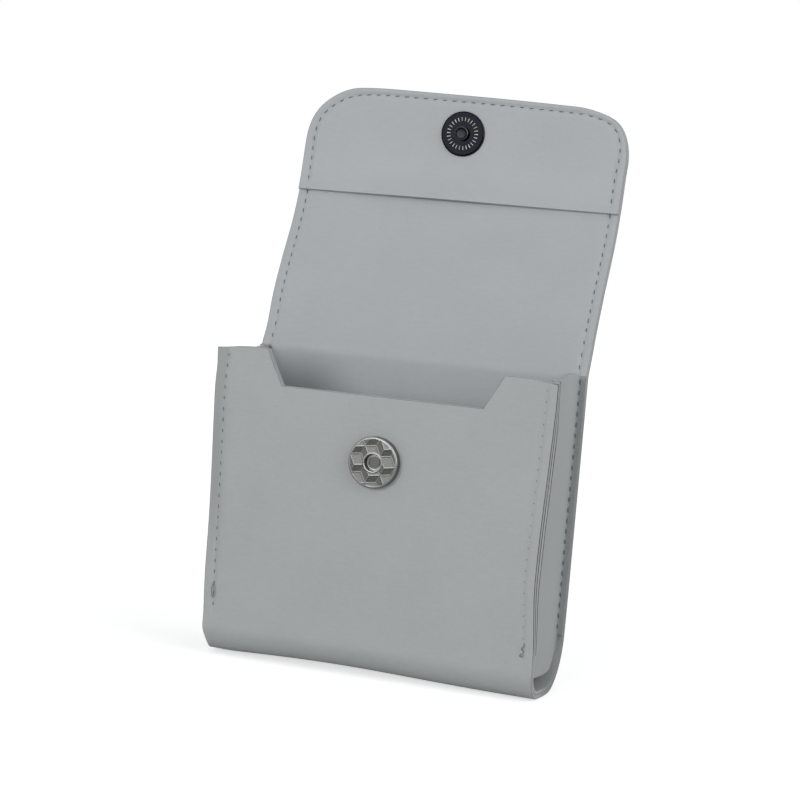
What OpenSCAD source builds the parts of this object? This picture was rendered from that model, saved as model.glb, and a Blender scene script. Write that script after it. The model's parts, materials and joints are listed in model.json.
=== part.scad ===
// Upright leather case: one U-shaped shell of outer leather and lining, two folded side gussets,
// and a flap that hinges at the back edge, folds over the top and closes on a magnetic snap.
// It stands on its base, drawn open, with the flap leaning back as it does at rest.
// X is side to side, Y points to the back, Z up; the origin is the middle of the flat base strip.

/* [Pouch] */
// Width of the pouch and of the flap, side to side
case_w = 97; // [80:1:120]
// Depth of the pouch, outer front face to outer back face
case_d = 31.8; // [29:0.2:42]
// Height of the front panel's top edge above the base
front_h = 86; // [70:1:110]
// Height of the flap's hinge line above the front panel's top edge
hinge_rise = 0.5; // [0.4:0.1:3]
// Outer radius of the bend from the front panel into the base
front_bend_r = 8; // [5:0.5:9]
// Outer radius of the bend from the base into the back panel
back_bend_r = 14.3; // [10:0.1:16]

/* [Leather] */
// Thickness of the outer leather
outer_t = 1.2; // [0.9:0.1:1.5]
// Thickness of the lining
lining_t = 1.0; // [0.9:0.1:1.3]
// Thickness of the gusset leather
gusset_t = 1.2; // [0.8:0.1:1.5]
// Thickness of the facing that carries the flap's snap half
facing_t = 0.9; // [0.6:0.1:1.3]

/* [Notch] */
// Width of the finger notch at the front panel's top edge
notch_top_w = 67.4; // [50:0.2:74]
// Width of the finger notch at its floor
notch_floor_w = 57.2; // [40:0.2:64]
// Depth of the finger notch
notch_depth = 9.3; // [4:0.1:14]

/* [Gussets] */
// Step from the panels' side edge in to the gusset wall's outer face, at its folds
gusset_inset = 2; // [1.6:0.1:5]
// Inner radius of the folds between gusset wall and flanges
gusset_fold_r = 0.4; // [0.2:0.1:0.8]
// Angle by which the gusset wall leaves its folds, which makes it bulge outwards
gusset_bulge = 7; // [2:0.5:12]
// Height of the gusset's free lower edge above the base
gusset_low_z = 5.5; // [4:0.1:9]
// Radius of the gusset's lower front corner
gusset_front_r = 4; // [2:0.5:6]
// Radius of the gusset's lower back corner
gusset_back_r = 11; // [9:0.5:13]
// Crown of the gusset's top edge above the front panel's top edge
gusset_crown = 0.6; // [0.2:0.1:1]
// Height at which the front flange ends
front_flange_z = 13; // [10:0.5:20]
// Height at which the back flange ends
back_flange_z = 14.6; // [14:0.2:24]

/* [Flap] */
// Lean of the flap's lower part back from upright, in degrees
span_lean = 27.5; // [20:0.5:32]
// Lean of the flap's tip back from upright, in degrees
tip_lean = 1; // [0:0.5:4]
// Radius of the bend between the two leans
tip_bend_r = 60; // [50:1:70]
// Straight stretch between the fold and that bend
tip_root = 6; // [4:0.5:9]
// Centre of the snap beyond that bend
snap_past_bend = 6; // [4:0.5:9]
// Centre of the snap to the flap's end
snap_to_end = 12; // [10:0.5:16]
// Radius of the flap's two end corners
tip_corner_r = 16; // [6:0.5:17]
// Lower edge of the facing to the centre of the snap
facing_reach = 18.4; // [14:0.2:24]
// Opening of the flap past its rest lean, in degrees
hinge_open = 100; // [60:1:100]

/* [Snap] */
// Centre of the snap below the front panel's top edge
snap_drop = 26.9; // [20:0.1:34]
// Diameter of the front half, the socket
socket_d = 14; // [13:0.5:15]
// Height of the socket above the leather
socket_h = 2.6; // [2.5:0.1:3.2]
// Diameter of the hole in the socket
socket_hole_d = 4.7; // [4.5:0.1:5]
// Diameter of the flap half's disc
stud_disc_d = 13; // [12.5:0.5:15]
// Height of the flap half's disc
stud_disc_h = 0.8; // [0.8:0.1:1.1]
// Diameter of the stud
stud_d = 4.2; // [3.6:0.1:4.2]
// Height of the stud above its disc
stud_h = 1.3; // [0.8:0.1:1.3]
// Gap left between the two closed halves
mate_clear = 0.3; // [0.2:0.1:0.6]
// Thickness of the pressed sheet of both caps
sheet_t = 0.35; // [0.3:0.01:0.38]
// Thickness of the prong strips
prong_t = 0.4; // [0.3:0.01:0.42]
// Width of the prong strips
prong_w = 3; // [2:0.1:3.4]
// Distance between the two legs of a prong strip
prong_span = 6.4; // [5.6:0.1:7]
// Diameter of the backing washers
washer_d = 9.8; // [9.2:0.1:10.2]
// Thickness of the backing washers
washer_t = 0.4; // [0.3:0.01:0.45]

/* [Hidden] */
$fn = 96;
arc_steps = 16;

leather_grey = [0.63, 0.65, 0.65];
lining_grey = [0.66, 0.68, 0.69];
nickel = [0.78, 0.78, 0.76];
dark_nickel = [0.25, 0.26, 0.28];
steel = [0.55, 0.56, 0.58];

// Clearances between snap parts, between leather leaves that turn, and for cutting tools
snug = 0.05;
seat_gap = 0.1;
leaf_gap = 0.25;
past = 1;

shell_t = outer_t + lining_t;
half_t = shell_t / 2;
base_len = case_d - front_bend_r - back_bend_r;
base_mid_y = front_bend_r + base_len / 2;
side_x = case_w / 2;

// Hinge line in the middle of the back panel's thickness
hinge_y = case_d - half_t;
hinge_z = front_h + hinge_rise;

// The flap's tip in its own frame: fold line at the origin, snap plane upright
tip_sweep = span_lean - tip_lean;
bend_y = tip_root * sin(tip_sweep) + tip_bend_r * (1 - cos(tip_sweep));
bend_z = tip_root * cos(tip_sweep) + tip_bend_r * sin(tip_sweep);
tip_snap_z = bend_z + snap_past_bend;
tip_end_z = tip_snap_z + snap_to_end;
tip_snap_y = bend_y - half_t - facing_t;
facing_angle = (facing_reach - snap_past_bend) / tip_bend_r * 180 / PI;

// Closed, the snap halves lie face to face, which places the fold line and so the span's length
socket_z = front_h - snap_drop;
mate_gap = socket_h + mate_clear + stud_disc_h;
closed_fold_y = tip_snap_y - mate_gap;
closed_fold_z = socket_z + tip_snap_z;
span_len = norm([hinge_y - closed_fold_y, closed_fold_z - hinge_z]);
closed_hinge_angle = span_lean + atan2(hinge_y - closed_fold_y, closed_fold_z - hinge_z);
closed_fold_angle = 180 + tip_lean - closed_hinge_angle;
fold_y = hinge_y + span_len * sin(span_lean);
fold_z = hinge_z + span_len * cos(span_lean);

// Round leather ends clear each other over the whole travel from these distances to a joint line
hinge_reach = (2 * half_t + leaf_gap) / sin(180 - hinge_open - span_lean);
fold_reach = 2 * half_t + leaf_gap;

// Gusset section: mid-line of the wall, fold centres and the wall's bulging arc
gusset_fold_mid = gusset_fold_r + gusset_t / 2;
gusset_fold_x = side_x - gusset_inset - gusset_t / 2 + gusset_fold_mid;
gusset_front_y = shell_t + gusset_t / 2 + gusset_fold_mid;
gusset_back_y = case_d - shell_t - gusset_t / 2 - gusset_fold_mid;
gusset_mid_y = (gusset_front_y + gusset_back_y) / 2;
gusset_arc_r = (gusset_back_y - gusset_front_y) / 2 / sin(gusset_bulge) - gusset_fold_mid;
gusset_arc_x = gusset_fold_x - (gusset_fold_mid + gusset_arc_r) * cos(gusset_bulge);
gusset_top_half = case_d / 2 - shell_t;
gusset_top_r = (gusset_top_half ^ 2 + gusset_crown ^ 2) / (2 * gusset_crown);

// Stack of the socket from the leather outwards, and of what is clenched behind either half
socket_r = socket_d / 2;
socket_hole_r = socket_hole_d / 2;
plate_t = 0.5;
plate_top = prong_t + plate_t;
rivet_r = 0.9;
rivet_head_r = 1.65;
rivet_head_t = 0.4;
cap_edge_r = 0.7;
hole_lip_r = 0.5;
disc_edge_r = 0.5;
stud_edge_r = 0.35;
dish_depth = 0.15;
clench_len = 2.3;
clench_h = washer_t + prong_t + snug;
washer_hole_r = 1.6;
window_r = washer_d / 2 + 0.6;
dimple_wall_r = 1.2;

echo(hinge = [0, hinge_y - base_mid_y, hinge_z], hinge_range = [-hinge_open, closed_hinge_angle]);
echo(fold = [0, fold_y - base_mid_y, fold_z], fold_closed = closed_fold_angle, span = span_len);
echo(snap = socket_z, reach = [hinge_reach, fold_reach], bend = [bend_y, bend_z]);

// Points along an arc, less the given number at either end
function arc(centre, r, from, to, skip = 0) = [
    for (i = [skip : arc_steps - skip])
        centre + r * [cos(from + (to - from) * i / arc_steps), sin(from + (to - from) * i / arc_steps)]
];

function reversed(points) = [for (i = [len(points) - 1 : -1 : 0]) points[i]];

// Part of a flat ring between two radii and two angles
module ring_sector(r_in, r_out, from, to) {
    far = 2 * r_out;
    mid = (from + to) / 2;
    intersection() {
        difference() {
            circle(r_out);
            circle(r_in);
        }
        polygon([
            [0, 0],
            far * [cos(from), sin(from)],
            far * [cos(mid), sin(mid)],
            far * [cos(to), sin(to)]
        ]);
    }
}

// Sweeps a side view, drawn as Y and Z, across the given width
module across(width) {
    translate([-width / 2, 0, 0]) rotate([90, 0, 90]) linear_extrude(width) children();
}

// Frames of the three moving bodies, with everything drawn from the base strip's middle
module in_pouch() {
    translate([0, -base_mid_y, 0]) children();
}

module in_span() {
    in_pouch() translate([0, hinge_y, hinge_z]) rotate([-span_lean, 0, 0]) children();
}

module in_tip() {
    in_pouch() translate([0, fold_y, fold_z]) rotate([-tip_lean, 0, 0]) children();
}

// Snap halves are drawn with Z out of the leather that carries them
module at_socket() {
    in_pouch() translate([0, 0, socket_z]) rotate([90, 0, 0]) children();
}

module at_stud() {
    in_tip() translate([0, tip_snap_y, tip_snap_z]) rotate([90, 0, 0]) children();
}

// Side view of the shell between two depths under its outer face, with its round end at the hinge
module shell_layer(from, to) {
    depth = to - from;
    translate([from, front_bend_r]) square([depth, front_h - front_bend_r]);
    translate([front_bend_r, front_bend_r])
        ring_sector(front_bend_r - to, front_bend_r - from, 180, 270);
    translate([front_bend_r, from]) square([base_len, depth]);
    translate([case_d - back_bend_r, back_bend_r])
        ring_sector(back_bend_r - to, back_bend_r - from, 270, 360);
    translate([case_d - to, back_bend_r]) square([depth, hinge_z - back_bend_r]);
    intersection() {
        translate([hinge_y, hinge_z]) circle(half_t);
        translate([case_d - to, hinge_z - shell_t]) square([depth, 2 * shell_t]);
    }
}

// Side view of a straight leather leaf with round ends, between two offsets from its mid-line
module leaf(from, to, start, end) {
    intersection() {
        union() {
            translate([-half_t, start]) square([shell_t, end - start]);
            translate([0, start]) circle(half_t);
            translate([0, end]) circle(half_t);
        }
        translate([from, start - shell_t]) square([to - from, end - start + 2 * shell_t]);
    }
}

// Part of the tip's bend in side view, at an offset from its mid-line
function tip_arc(offset, from, to) =
    arc([bend_y - tip_bend_r, bend_z], tip_bend_r + offset, from, to);

// One side of the tip from the facing's lower edge up: the rest of the bend, then upright
function tip_upper_side(offset) = concat(
    tip_arc(offset, -facing_angle, 0),
    [[bend_y + offset, tip_end_z]]
);

// One side of the whole tip, through the same points where the facing lies on it
function tip_side(offset) = concat(
    tip_arc(offset, -tip_sweep, -facing_angle),
    [for (i = [1 : arc_steps + 1]) tip_upper_side(offset)[i]]
);

// The round end of the tip at the fold, from one offset to another
function tip_root_end(from, to) = let(
    along = [sin(tip_sweep), cos(tip_sweep)],
    out = [cos(tip_sweep), -sin(tip_sweep)],
    first = asin(from / half_t),
    last = asin(to / half_t)
) [
    for (i = [0 : arc_steps]) let(turn = first + (last - first) * i / arc_steps)
        fold_reach * along + half_t * (sin(turn) * out - cos(turn) * along)
];

// Side view of the whole tip between two offsets, with its straight root and round end
module tip_layer(from, to) {
    polygon(concat(tip_side(from), reversed(tip_side(to)), reversed(tip_root_end(from, to))));
}

// Everything inside the flap's outline, seen from the front, with its two round end corners
module tip_outline() {
    inner_w = case_w - 2 * tip_corner_r;
    translate([0, bend_y + tip_bend_r, 0]) rotate([90, 0, 0]) linear_extrude(2 * tip_bend_r) {
        translate([-side_x, -shell_t]) square([case_w, tip_end_z - tip_corner_r + shell_t]);
        translate([-inner_w / 2, 0]) square([inner_w, tip_end_z]);
        for (side = [-1, 1])
            translate([side * inner_w / 2, tip_end_z - tip_corner_r]) circle(tip_corner_r);
    }
}

module notch_cut() {
    translate([0, shell_t + past, 0]) rotate([90, 0, 0]) linear_extrude(shell_t + 2 * past)
        polygon([
            [-notch_top_w / 2, front_h],
            [-notch_top_w / 2, front_h + past],
            [notch_top_w / 2, front_h + past],
            [notch_top_w / 2, front_h],
            [notch_floor_w / 2, front_h - notch_depth],
            [-notch_floor_w / 2, front_h - notch_depth]
        ]);
}

// Slots for the two legs of a prong strip, from a given depth up to the leather's face
module leg_slots(depth) {
    slot_t = prong_t + 2 * snug;
    slot_w = prong_w + 2 * snug;
    for (side = [-1, 1])
        translate([side * prong_span / 2 - slot_t / 2, -slot_w / 2, -depth - past])
            cube([slot_t, slot_w, depth + 2 * past]);
}

// A strip under the snap half, its legs through the leather and clenched inwards on the washer
module prongs(leather_t) {
    outer_w = prong_span + prong_t;
    back = leather_t + snug + washer_t;
    difference() {
        translate([-outer_w / 2, -prong_w / 2, 0]) cube([outer_w, prong_w, prong_t]);
        translate([0, 0, -past]) cylinder(h = prong_t + 2 * past, r = rivet_r + snug);
    }
    for (side = [0, 1]) mirror([side, 0, 0]) {
        translate([(prong_span - prong_t) / 2, -prong_w / 2, -back - prong_t])
            cube([prong_t, prong_w, back + prong_t]);
        translate([outer_w / 2 - clench_len, -prong_w / 2, -back - prong_t])
            cube([clench_len, prong_w, prong_t]);
    }
}

module washer(leather_t) {
    translate([0, 0, -leather_t - snug / 2 - washer_t]) difference() {
        cylinder(h = washer_t, d = washer_d);
        translate([0, 0, -past]) cylinder(h = washer_t + 2 * past, r = washer_hole_r);
        leg_slots(washer_t);
    }
}

module outer_shell() {
    color(leather_grey) difference() {
        in_pouch() difference() {
            across(case_w) shell_layer(0, outer_t);
            notch_cut();
        }
        at_socket() leg_slots(outer_t);
    }
}

// The lining rises in a low dimple where it passes over the washer behind the socket
module pocket_lining() {
    rise = clench_h + snug;
    color(lining_grey) difference() {
        union() {
            in_pouch() difference() {
                across(case_w) shell_layer(outer_t, shell_t);
                notch_cut();
            }
            at_socket() translate([0, 0, -shell_t - rise])
                cylinder(h = rise + lining_t / 2, r1 = window_r + lining_t / 2, r2 = window_r + lining_t + rise);
        }
        at_socket() translate([0, 0, -outer_t - rise]) cylinder(h = rise, r1 = window_r - rise / 2, r2 = window_r);
        at_socket() translate([0, 0, -outer_t]) cylinder(h = outer_t, r = 2 * socket_r);
    }
}

// One side of the gusset seen from above, at an offset from its mid-line towards the pocket:
// front flange, fold, bulging wall, fold, back flange
function gusset_side(offset) = concat(
    [[side_x, shell_t + gusset_t / 2 - offset]],
    arc([gusset_fold_x, gusset_front_y], gusset_fold_mid + offset, 270, 180 - gusset_bulge),
    arc([gusset_arc_x, gusset_mid_y], gusset_arc_r - offset, -gusset_bulge, gusset_bulge, 1),
    arc([gusset_fold_x, gusset_back_y], gusset_fold_mid + offset, 180 + gusset_bulge, 90),
    [[side_x, case_d - shell_t - gusset_t / 2 + offset]]
);

module gusset_section() {
    polygon(concat(gusset_side(gusset_t / 2), reversed(gusset_side(-gusset_t / 2))));
}

module corner_waste(r) {
    difference() {
        translate([-past, -past]) square(r + past);
        translate([r, r]) circle(r);
    }
}

// Side view of the gusset: crowned top edge, rounded lower corners
module gusset_outline() {
    front = shell_t;
    back = case_d - shell_t;
    difference() {
        intersection() {
            translate([front, gusset_low_z]) square([back - front, front_h]);
            translate([(front + back) / 2, front_h + gusset_crown - gusset_top_r]) circle(gusset_top_r);
        }
        translate([front, gusset_low_z]) corner_waste(gusset_front_r);
        translate([back, gusset_low_z]) mirror([1, 0]) corner_waste(gusset_back_r);
    }
}

module gusset_right() {
    color(leather_grey) in_pouch() difference() {
        intersection() {
            linear_extrude(front_h + 2 * gusset_crown) gusset_section();
            across(2 * case_w) gusset_outline();
        }
        translate([gusset_fold_x, 0, 0]) cube([case_w, case_d / 2, front_flange_z]);
        translate([gusset_fold_x, case_d / 2, 0]) cube([case_w, case_d, back_flange_z]);
    }
}

module gusset_left() {
    mirror([1, 0, 0]) gusset_right();
}

// Pressed cap with a rounded rim and a tube that lines its middle hole
module socket_cap() {
    tube_low = plate_top + rivet_head_t;
    color(nickel) at_socket() rotate_extrude() {
        translate([socket_r - sheet_t, 0]) square([sheet_t, socket_h - cap_edge_r]);
        translate([socket_r - cap_edge_r, socket_h - cap_edge_r])
            ring_sector(cap_edge_r - sheet_t, cap_edge_r, 0, 90);
        translate([socket_hole_r + hole_lip_r, socket_h - sheet_t])
            square([socket_r - cap_edge_r - socket_hole_r - hole_lip_r, sheet_t]);
        translate([socket_hole_r + hole_lip_r, socket_h - hole_lip_r])
            ring_sector(hole_lip_r - sheet_t, hole_lip_r, 90, 180);
        translate([socket_hole_r, tube_low]) square([sheet_t, socket_h - hole_lip_r - tube_low]);
    }
}

module socket_magnet() {
    hole_r = socket_hole_r + sheet_t + seat_gap;
    rim_r = socket_r - cap_edge_r;
    color(steel) at_socket() translate([0, 0, plate_top]) difference() {
        cylinder(h = socket_h - sheet_t - snug - plate_top, r = rim_r);
        translate([0, 0, -past]) cylinder(h = socket_h + past, r = hole_r);
    }
}

module socket_plate() {
    color(steel) at_socket() translate([0, 0, prong_t]) difference() {
        cylinder(h = plate_t, r = socket_r - sheet_t - seat_gap);
        translate([0, 0, -past]) cylinder(h = plate_t + 2 * past, r = rivet_r + snug);
    }
}

// The rivet's dished head shows at the bottom of the socket's hole
module socket_rivet() {
    color(nickel) at_socket() difference() {
        union() {
            cylinder(h = plate_top, r = rivet_r);
            translate([0, 0, plate_top]) cylinder(h = rivet_head_t, r = rivet_head_r);
        }
        translate([0, 0, plate_top + rivet_head_t - dish_depth])
            cylinder(h = past, r = rivet_head_r - sheet_t);
    }
}

module socket_prongs() {
    color(steel) at_socket() prongs(outer_t);
}

module socket_washer() {
    color(steel) at_socket() washer(outer_t);
}

module span_outer() {
    color(leather_grey) in_span() across(case_w)
        leaf(half_t - outer_t, half_t, hinge_reach, span_len);
}

module span_lining() {
    color(lining_grey) in_span() across(case_w)
        leaf(-half_t, half_t - outer_t, hinge_reach, span_len);
}

module tip_outer() {
    color(leather_grey) in_tip() intersection() {
        across(case_w) tip_layer(half_t - outer_t, half_t);
        tip_outline();
    }
}

// A round window in the lining makes room for the washer behind the flap's snap half
module tip_lining() {
    color(lining_grey) difference() {
        in_tip() intersection() {
            across(case_w) tip_layer(-half_t, half_t - outer_t);
            tip_outline();
        }
        at_stud() translate([0, 0, -facing_t - shell_t]) cylinder(h = shell_t + facing_t, r = window_r);
    }
}

module tip_facing() {
    color(lining_grey) difference() {
        in_tip() intersection() {
            across(case_w) polygon(concat(
                tip_upper_side(-half_t - facing_t), reversed(tip_upper_side(-half_t))
            ));
            tip_outline();
        }
        at_stud() leg_slots(facing_t);
    }
}

module stud_disc() {
    disc_r = stud_disc_d / 2;
    color(dark_nickel) at_stud() rotate_extrude() {
        translate([disc_r - sheet_t, 0]) square([sheet_t, stud_disc_h - disc_edge_r]);
        translate([disc_r - disc_edge_r, stud_disc_h - disc_edge_r])
            ring_sector(disc_edge_r - sheet_t, disc_edge_r, 0, 90);
        translate([rivet_r + snug, stud_disc_h - sheet_t])
            square([disc_r - disc_edge_r - rivet_r - snug, sheet_t]);
    }
}

// The stud and its shank, turned in one piece, with a rounded rim and a dished end
module stud_post() {
    stud_r = stud_d / 2;
    top = stud_disc_h + stud_h;
    color(dark_nickel) at_stud() rotate_extrude() {
        square([rivet_r, stud_disc_h]);
        translate([0, stud_disc_h]) square([stud_r - stud_edge_r, stud_h - dish_depth]);
        translate([stud_r - 2 * stud_edge_r, stud_disc_h]) square([stud_edge_r, stud_h]);
        translate([stud_r - stud_edge_r, stud_disc_h]) square([stud_edge_r, stud_h - stud_edge_r]);
        translate([stud_r - stud_edge_r, top - stud_edge_r]) ring_sector(0, stud_edge_r, 0, 90);
    }
}

module stud_prongs() {
    color(steel) at_stud() prongs(facing_t);
}

module stud_washer() {
    color(steel) at_stud() washer(facing_t);
}

outer_shell();
pocket_lining();
gusset_left();
gusset_right();
socket_cap();
socket_magnet();
socket_plate();
socket_rivet();
socket_prongs();
socket_washer();
span_outer();
span_lining();
tip_outer();
tip_lining();
tip_facing();
stud_disc();
stud_post();
stud_prongs();
stud_washer();
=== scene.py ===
"""Looks of an upright stitched leather case with a folded flap and a magnetic snap."""

import json
import math

import bmesh
import bpy
import numpy as np
from bpy.props import FloatProperty, FloatVectorProperty, IntProperty, PointerProperty
from mathutils import Matrix, Vector


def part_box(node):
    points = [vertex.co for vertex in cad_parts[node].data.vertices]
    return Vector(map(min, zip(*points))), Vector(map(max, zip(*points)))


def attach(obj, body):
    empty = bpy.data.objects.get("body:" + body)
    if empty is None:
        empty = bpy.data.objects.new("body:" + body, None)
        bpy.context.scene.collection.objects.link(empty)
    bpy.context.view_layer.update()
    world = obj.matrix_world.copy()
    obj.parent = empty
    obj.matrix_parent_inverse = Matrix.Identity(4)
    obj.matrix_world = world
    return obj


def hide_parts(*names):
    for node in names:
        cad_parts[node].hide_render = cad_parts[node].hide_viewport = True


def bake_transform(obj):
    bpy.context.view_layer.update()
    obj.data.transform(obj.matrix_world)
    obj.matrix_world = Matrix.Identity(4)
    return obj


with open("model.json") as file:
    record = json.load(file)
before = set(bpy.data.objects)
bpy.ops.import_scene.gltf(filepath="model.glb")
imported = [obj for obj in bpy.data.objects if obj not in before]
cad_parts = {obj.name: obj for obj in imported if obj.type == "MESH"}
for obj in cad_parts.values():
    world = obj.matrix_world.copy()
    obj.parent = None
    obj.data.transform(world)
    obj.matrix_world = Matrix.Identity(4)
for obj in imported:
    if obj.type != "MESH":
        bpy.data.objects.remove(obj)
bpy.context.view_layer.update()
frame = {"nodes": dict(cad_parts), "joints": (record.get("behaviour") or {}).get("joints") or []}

bl_info = {
    "name": "Leather Flap Case",
    "version": (1, 0, 0),
    "blender": (4, 5, 0),
    "location": "3D View > Sidebar > Flap Case",
    "description": "Builds the leather, seams, snap and studio of an upright flap case",
    "category": "Add Mesh",
}

MM = 0.001
HINGE = Vector(frame["joints"][0]["pos_m"])
FOLD = Vector(frame["joints"][1]["pos_m"])
SHELL_LOW, SHELL_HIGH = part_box("outer_shell")
CAP_LOW, CAP_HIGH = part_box("socket_cap")
DISC_LOW, DISC_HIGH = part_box("stud_disc")
FACING_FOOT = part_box("tip_facing")[0].z
SPAN_LEAN = math.atan2(FOLD.y - HINGE.y, FOLD.z - HINGE.z)
TIP_LEAN = math.radians(1)
SNAP = Vector((0, SHELL_LOW.y, (CAP_LOW.z + CAP_HIGH.z) / 2))
STUD = (DISC_LOW + DISC_HIGH) / 2
SIDE, FRONT, BACK = (place / MM for place in (SHELL_HIGH.x, SHELL_LOW.y, SHELL_HIGH.y))


def length_value(name, default, about):
    """A length of the case, in metres."""
    return FloatProperty(name=name, description=about, default=default, min=0, unit="LENGTH", precision=5)


def colour_value(name, default, about):
    """A colour of the case as it shows on screen."""
    return FloatVectorProperty(
        name=name, description=about, default=default, size=3, min=0, max=1, subtype="COLOR_GAMMA"
    )


class CaseSizes(bpy.types.PropertyGroup):
    outer_t: length_value("Outer leather", 1.2 * MM, "Thickness of the outer leather")
    lining_t: length_value("Lining", 1.0 * MM, "Thickness of the lining")
    gusset_t: length_value("Gusset", 1.2 * MM, "Thickness of the gusset leather")
    facing_t: length_value("Facing", 0.9 * MM, "Thickness of the facing inside the flap's tip")
    rim_r: length_value("Rim", 0.22 * MM, "Radius of the worn rim of each leather layer")
    front_h: length_value("Front height", 86 * MM, "Height of the front panel's top edge")
    front_bend_r: length_value("Front bend", 8 * MM, "Outer radius of the bend from front to base")
    back_bend_r: length_value("Back bend", 14.3 * MM, "Outer radius of the bend from base to back")
    hinge_bend_r: length_value("Hinge bend", 5 * MM, "Radius of the bend at the hinge line")
    notch_top_w: length_value("Notch top", 67.4 * MM, "Width of the finger notch at the top edge")
    notch_floor_w: length_value("Notch floor", 57.2 * MM, "Width of the finger notch at its floor")
    notch_depth: length_value("Notch depth", 9.3 * MM, "Depth of the finger notch")
    tip_root: length_value("Tip root", 6 * MM, "Straight stretch between fold and bend")
    tip_bend_r: length_value("Tip bend", 60 * MM, "Radius of the bend of the flap's tip")
    tip_straight: length_value("Tip end", 18 * MM, "Straight stretch from the bend to the flap's end")
    tip_corner_r: length_value("Flap corners", 16 * MM, "Radius of the flap's two end corners")
    gusset_inset: length_value("Gusset inset", 1.7 * MM, "Step from the panels' edge to the gusset wall")
    gusset_fold_r: length_value("Gusset fold", 0.4 * MM, "Inner radius of the gusset's folds")
    gusset_low_z: length_value("Gusset foot", 5.5 * MM, "Height of the gusset's lower edge")
    front_seam: length_value("Front seam", 3.0 * MM, "Stitches to the edge on the front panel")
    back_seam: length_value("Back seam", 1.7 * MM, "Stitches to the edge on the back panel")
    flap_seam: length_value("Flap seam", 2.6 * MM, "Stitches to the edge on the flap's sides")
    top_seam: length_value("Flap top seam", 1.9 * MM, "Stitches to the edge along the flap's end")
    pitch: length_value("Stitch pitch", 2.9 * MM, "Distance from one stitch to the next")
    front_stitch: length_value("Front stitch", 1.25 * MM, "Visible length of a stitch on the front")
    stitch: length_value("Stitch length", 1.65 * MM, "Visible length of a stitch on flap and back")
    thread_w: length_value("Thread width", 0.27 * MM, "Width of the thread")
    seam_dip: length_value("Seam dip", 0.24 * MM, "Depth to which a seam pulls the leather in")
    settling: FloatProperty(
        name="Settling", description="Share of its way that the soft leather has settled",
        default=1, min=0, max=1, subtype="FACTOR"
    )
    seed: IntProperty(name="Seed", description="Seed of the stitches' unevenness", default=7, min=0)


class CaseColours(bpy.types.PropertyGroup):
    leather: colour_value("Leather", (0.650, 0.664, 0.662), "Outer leather and gussets")
    lining: colour_value("Lining", (0.670, 0.685, 0.691), "Lining and facing")
    thread: colour_value("Thread", (0.42, 0.44, 0.46), "Sewing thread")
    nickel: colour_value("Nickel", (0.80, 0.80, 0.79), "Bright rims of the front snap")
    cap_ground: colour_value("Cap ground", (0.14, 0.14, 0.145), "Ground of the front snap's relief")
    dark_nickel: colour_value("Dark nickel", (0.055, 0.06, 0.074), "Mirror plate of the flap snap")
    rivet: colour_value("Rivet", (0.34, 0.34, 0.335), "Rivet head inside the front snap")
    steel: colour_value("Steel", (0.60, 0.61, 0.62), "Prongs, plates and washers")
    magnet: colour_value("Magnet", (0.30, 0.30, 0.31), "Ring magnet")
    page: colour_value("Background", (1.0, 1.0, 1.0), "Floor and background")


def sizes():
    """The case's sizes in the scene."""
    return bpy.context.scene.case_sizes


def colours():
    """The case's colours in the scene."""
    return bpy.context.scene.case_colours


def smooth(t):
    """0 below 0, 1 above 1 and an even rise between."""
    t = np.clip(t, 0, 1)
    return t * t * (3 - 2 * t)


def bump(value, low, peak, high):
    """Rises from 0 at low to 1 at peak and falls to 0 at high."""
    rise, fall = smooth((value - low) / (peak - low)), smooth((high - value) / (high - peak))
    return np.where(value < peak, rise, fall)


def near(value, centre, width):
    """1 at the centre, with an even fall to either side over about the width."""
    return np.exp(-(((value - centre) / width) ** 2))


class Path:
    """Straight runs and bends laid end to end in one plane and measured along their own line."""

    def __init__(self, start, heading, runs):
        """runs holds pairs of a length and a turn in radians, counter-clockwise."""
        self.starts = np.zeros(len(runs))
        self.points = np.zeros((len(runs), 2))
        self.headings = np.zeros(len(runs))
        self.bends = np.array([turn / length for length, turn in runs])
        self.length = 0.0
        point = np.array(start, float)
        for i, (length, turn) in enumerate(runs):
            self.starts[i] = self.length
            self.points[i] = point
            self.headings[i] = heading
            point = point + self._step(heading, self.bends[i], length)
            heading += turn
            self.length += length

    @staticmethod
    def _step(heading, bend, along):
        half = bend * along / 2
        chord = along * np.sinc(half / np.pi)
        return np.stack([chord * np.cos(heading + half), chord * np.sin(heading + half)], -1)

    def at(self, s):
        """Points and outward normals at the given distances along the line."""
        s = np.asarray(s, float)
        run = np.clip(np.searchsorted(self.starts, s, side="right") - 1, 0, len(self.starts) - 1)
        along = s - self.starts[run]
        points = self.points[run] + self._step(self.headings[run], self.bends[run], along)
        heading = self.headings[run] + self.bends[run] * along
        return points, np.stack([np.sin(heading), -np.cos(heading)], -1)


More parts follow.
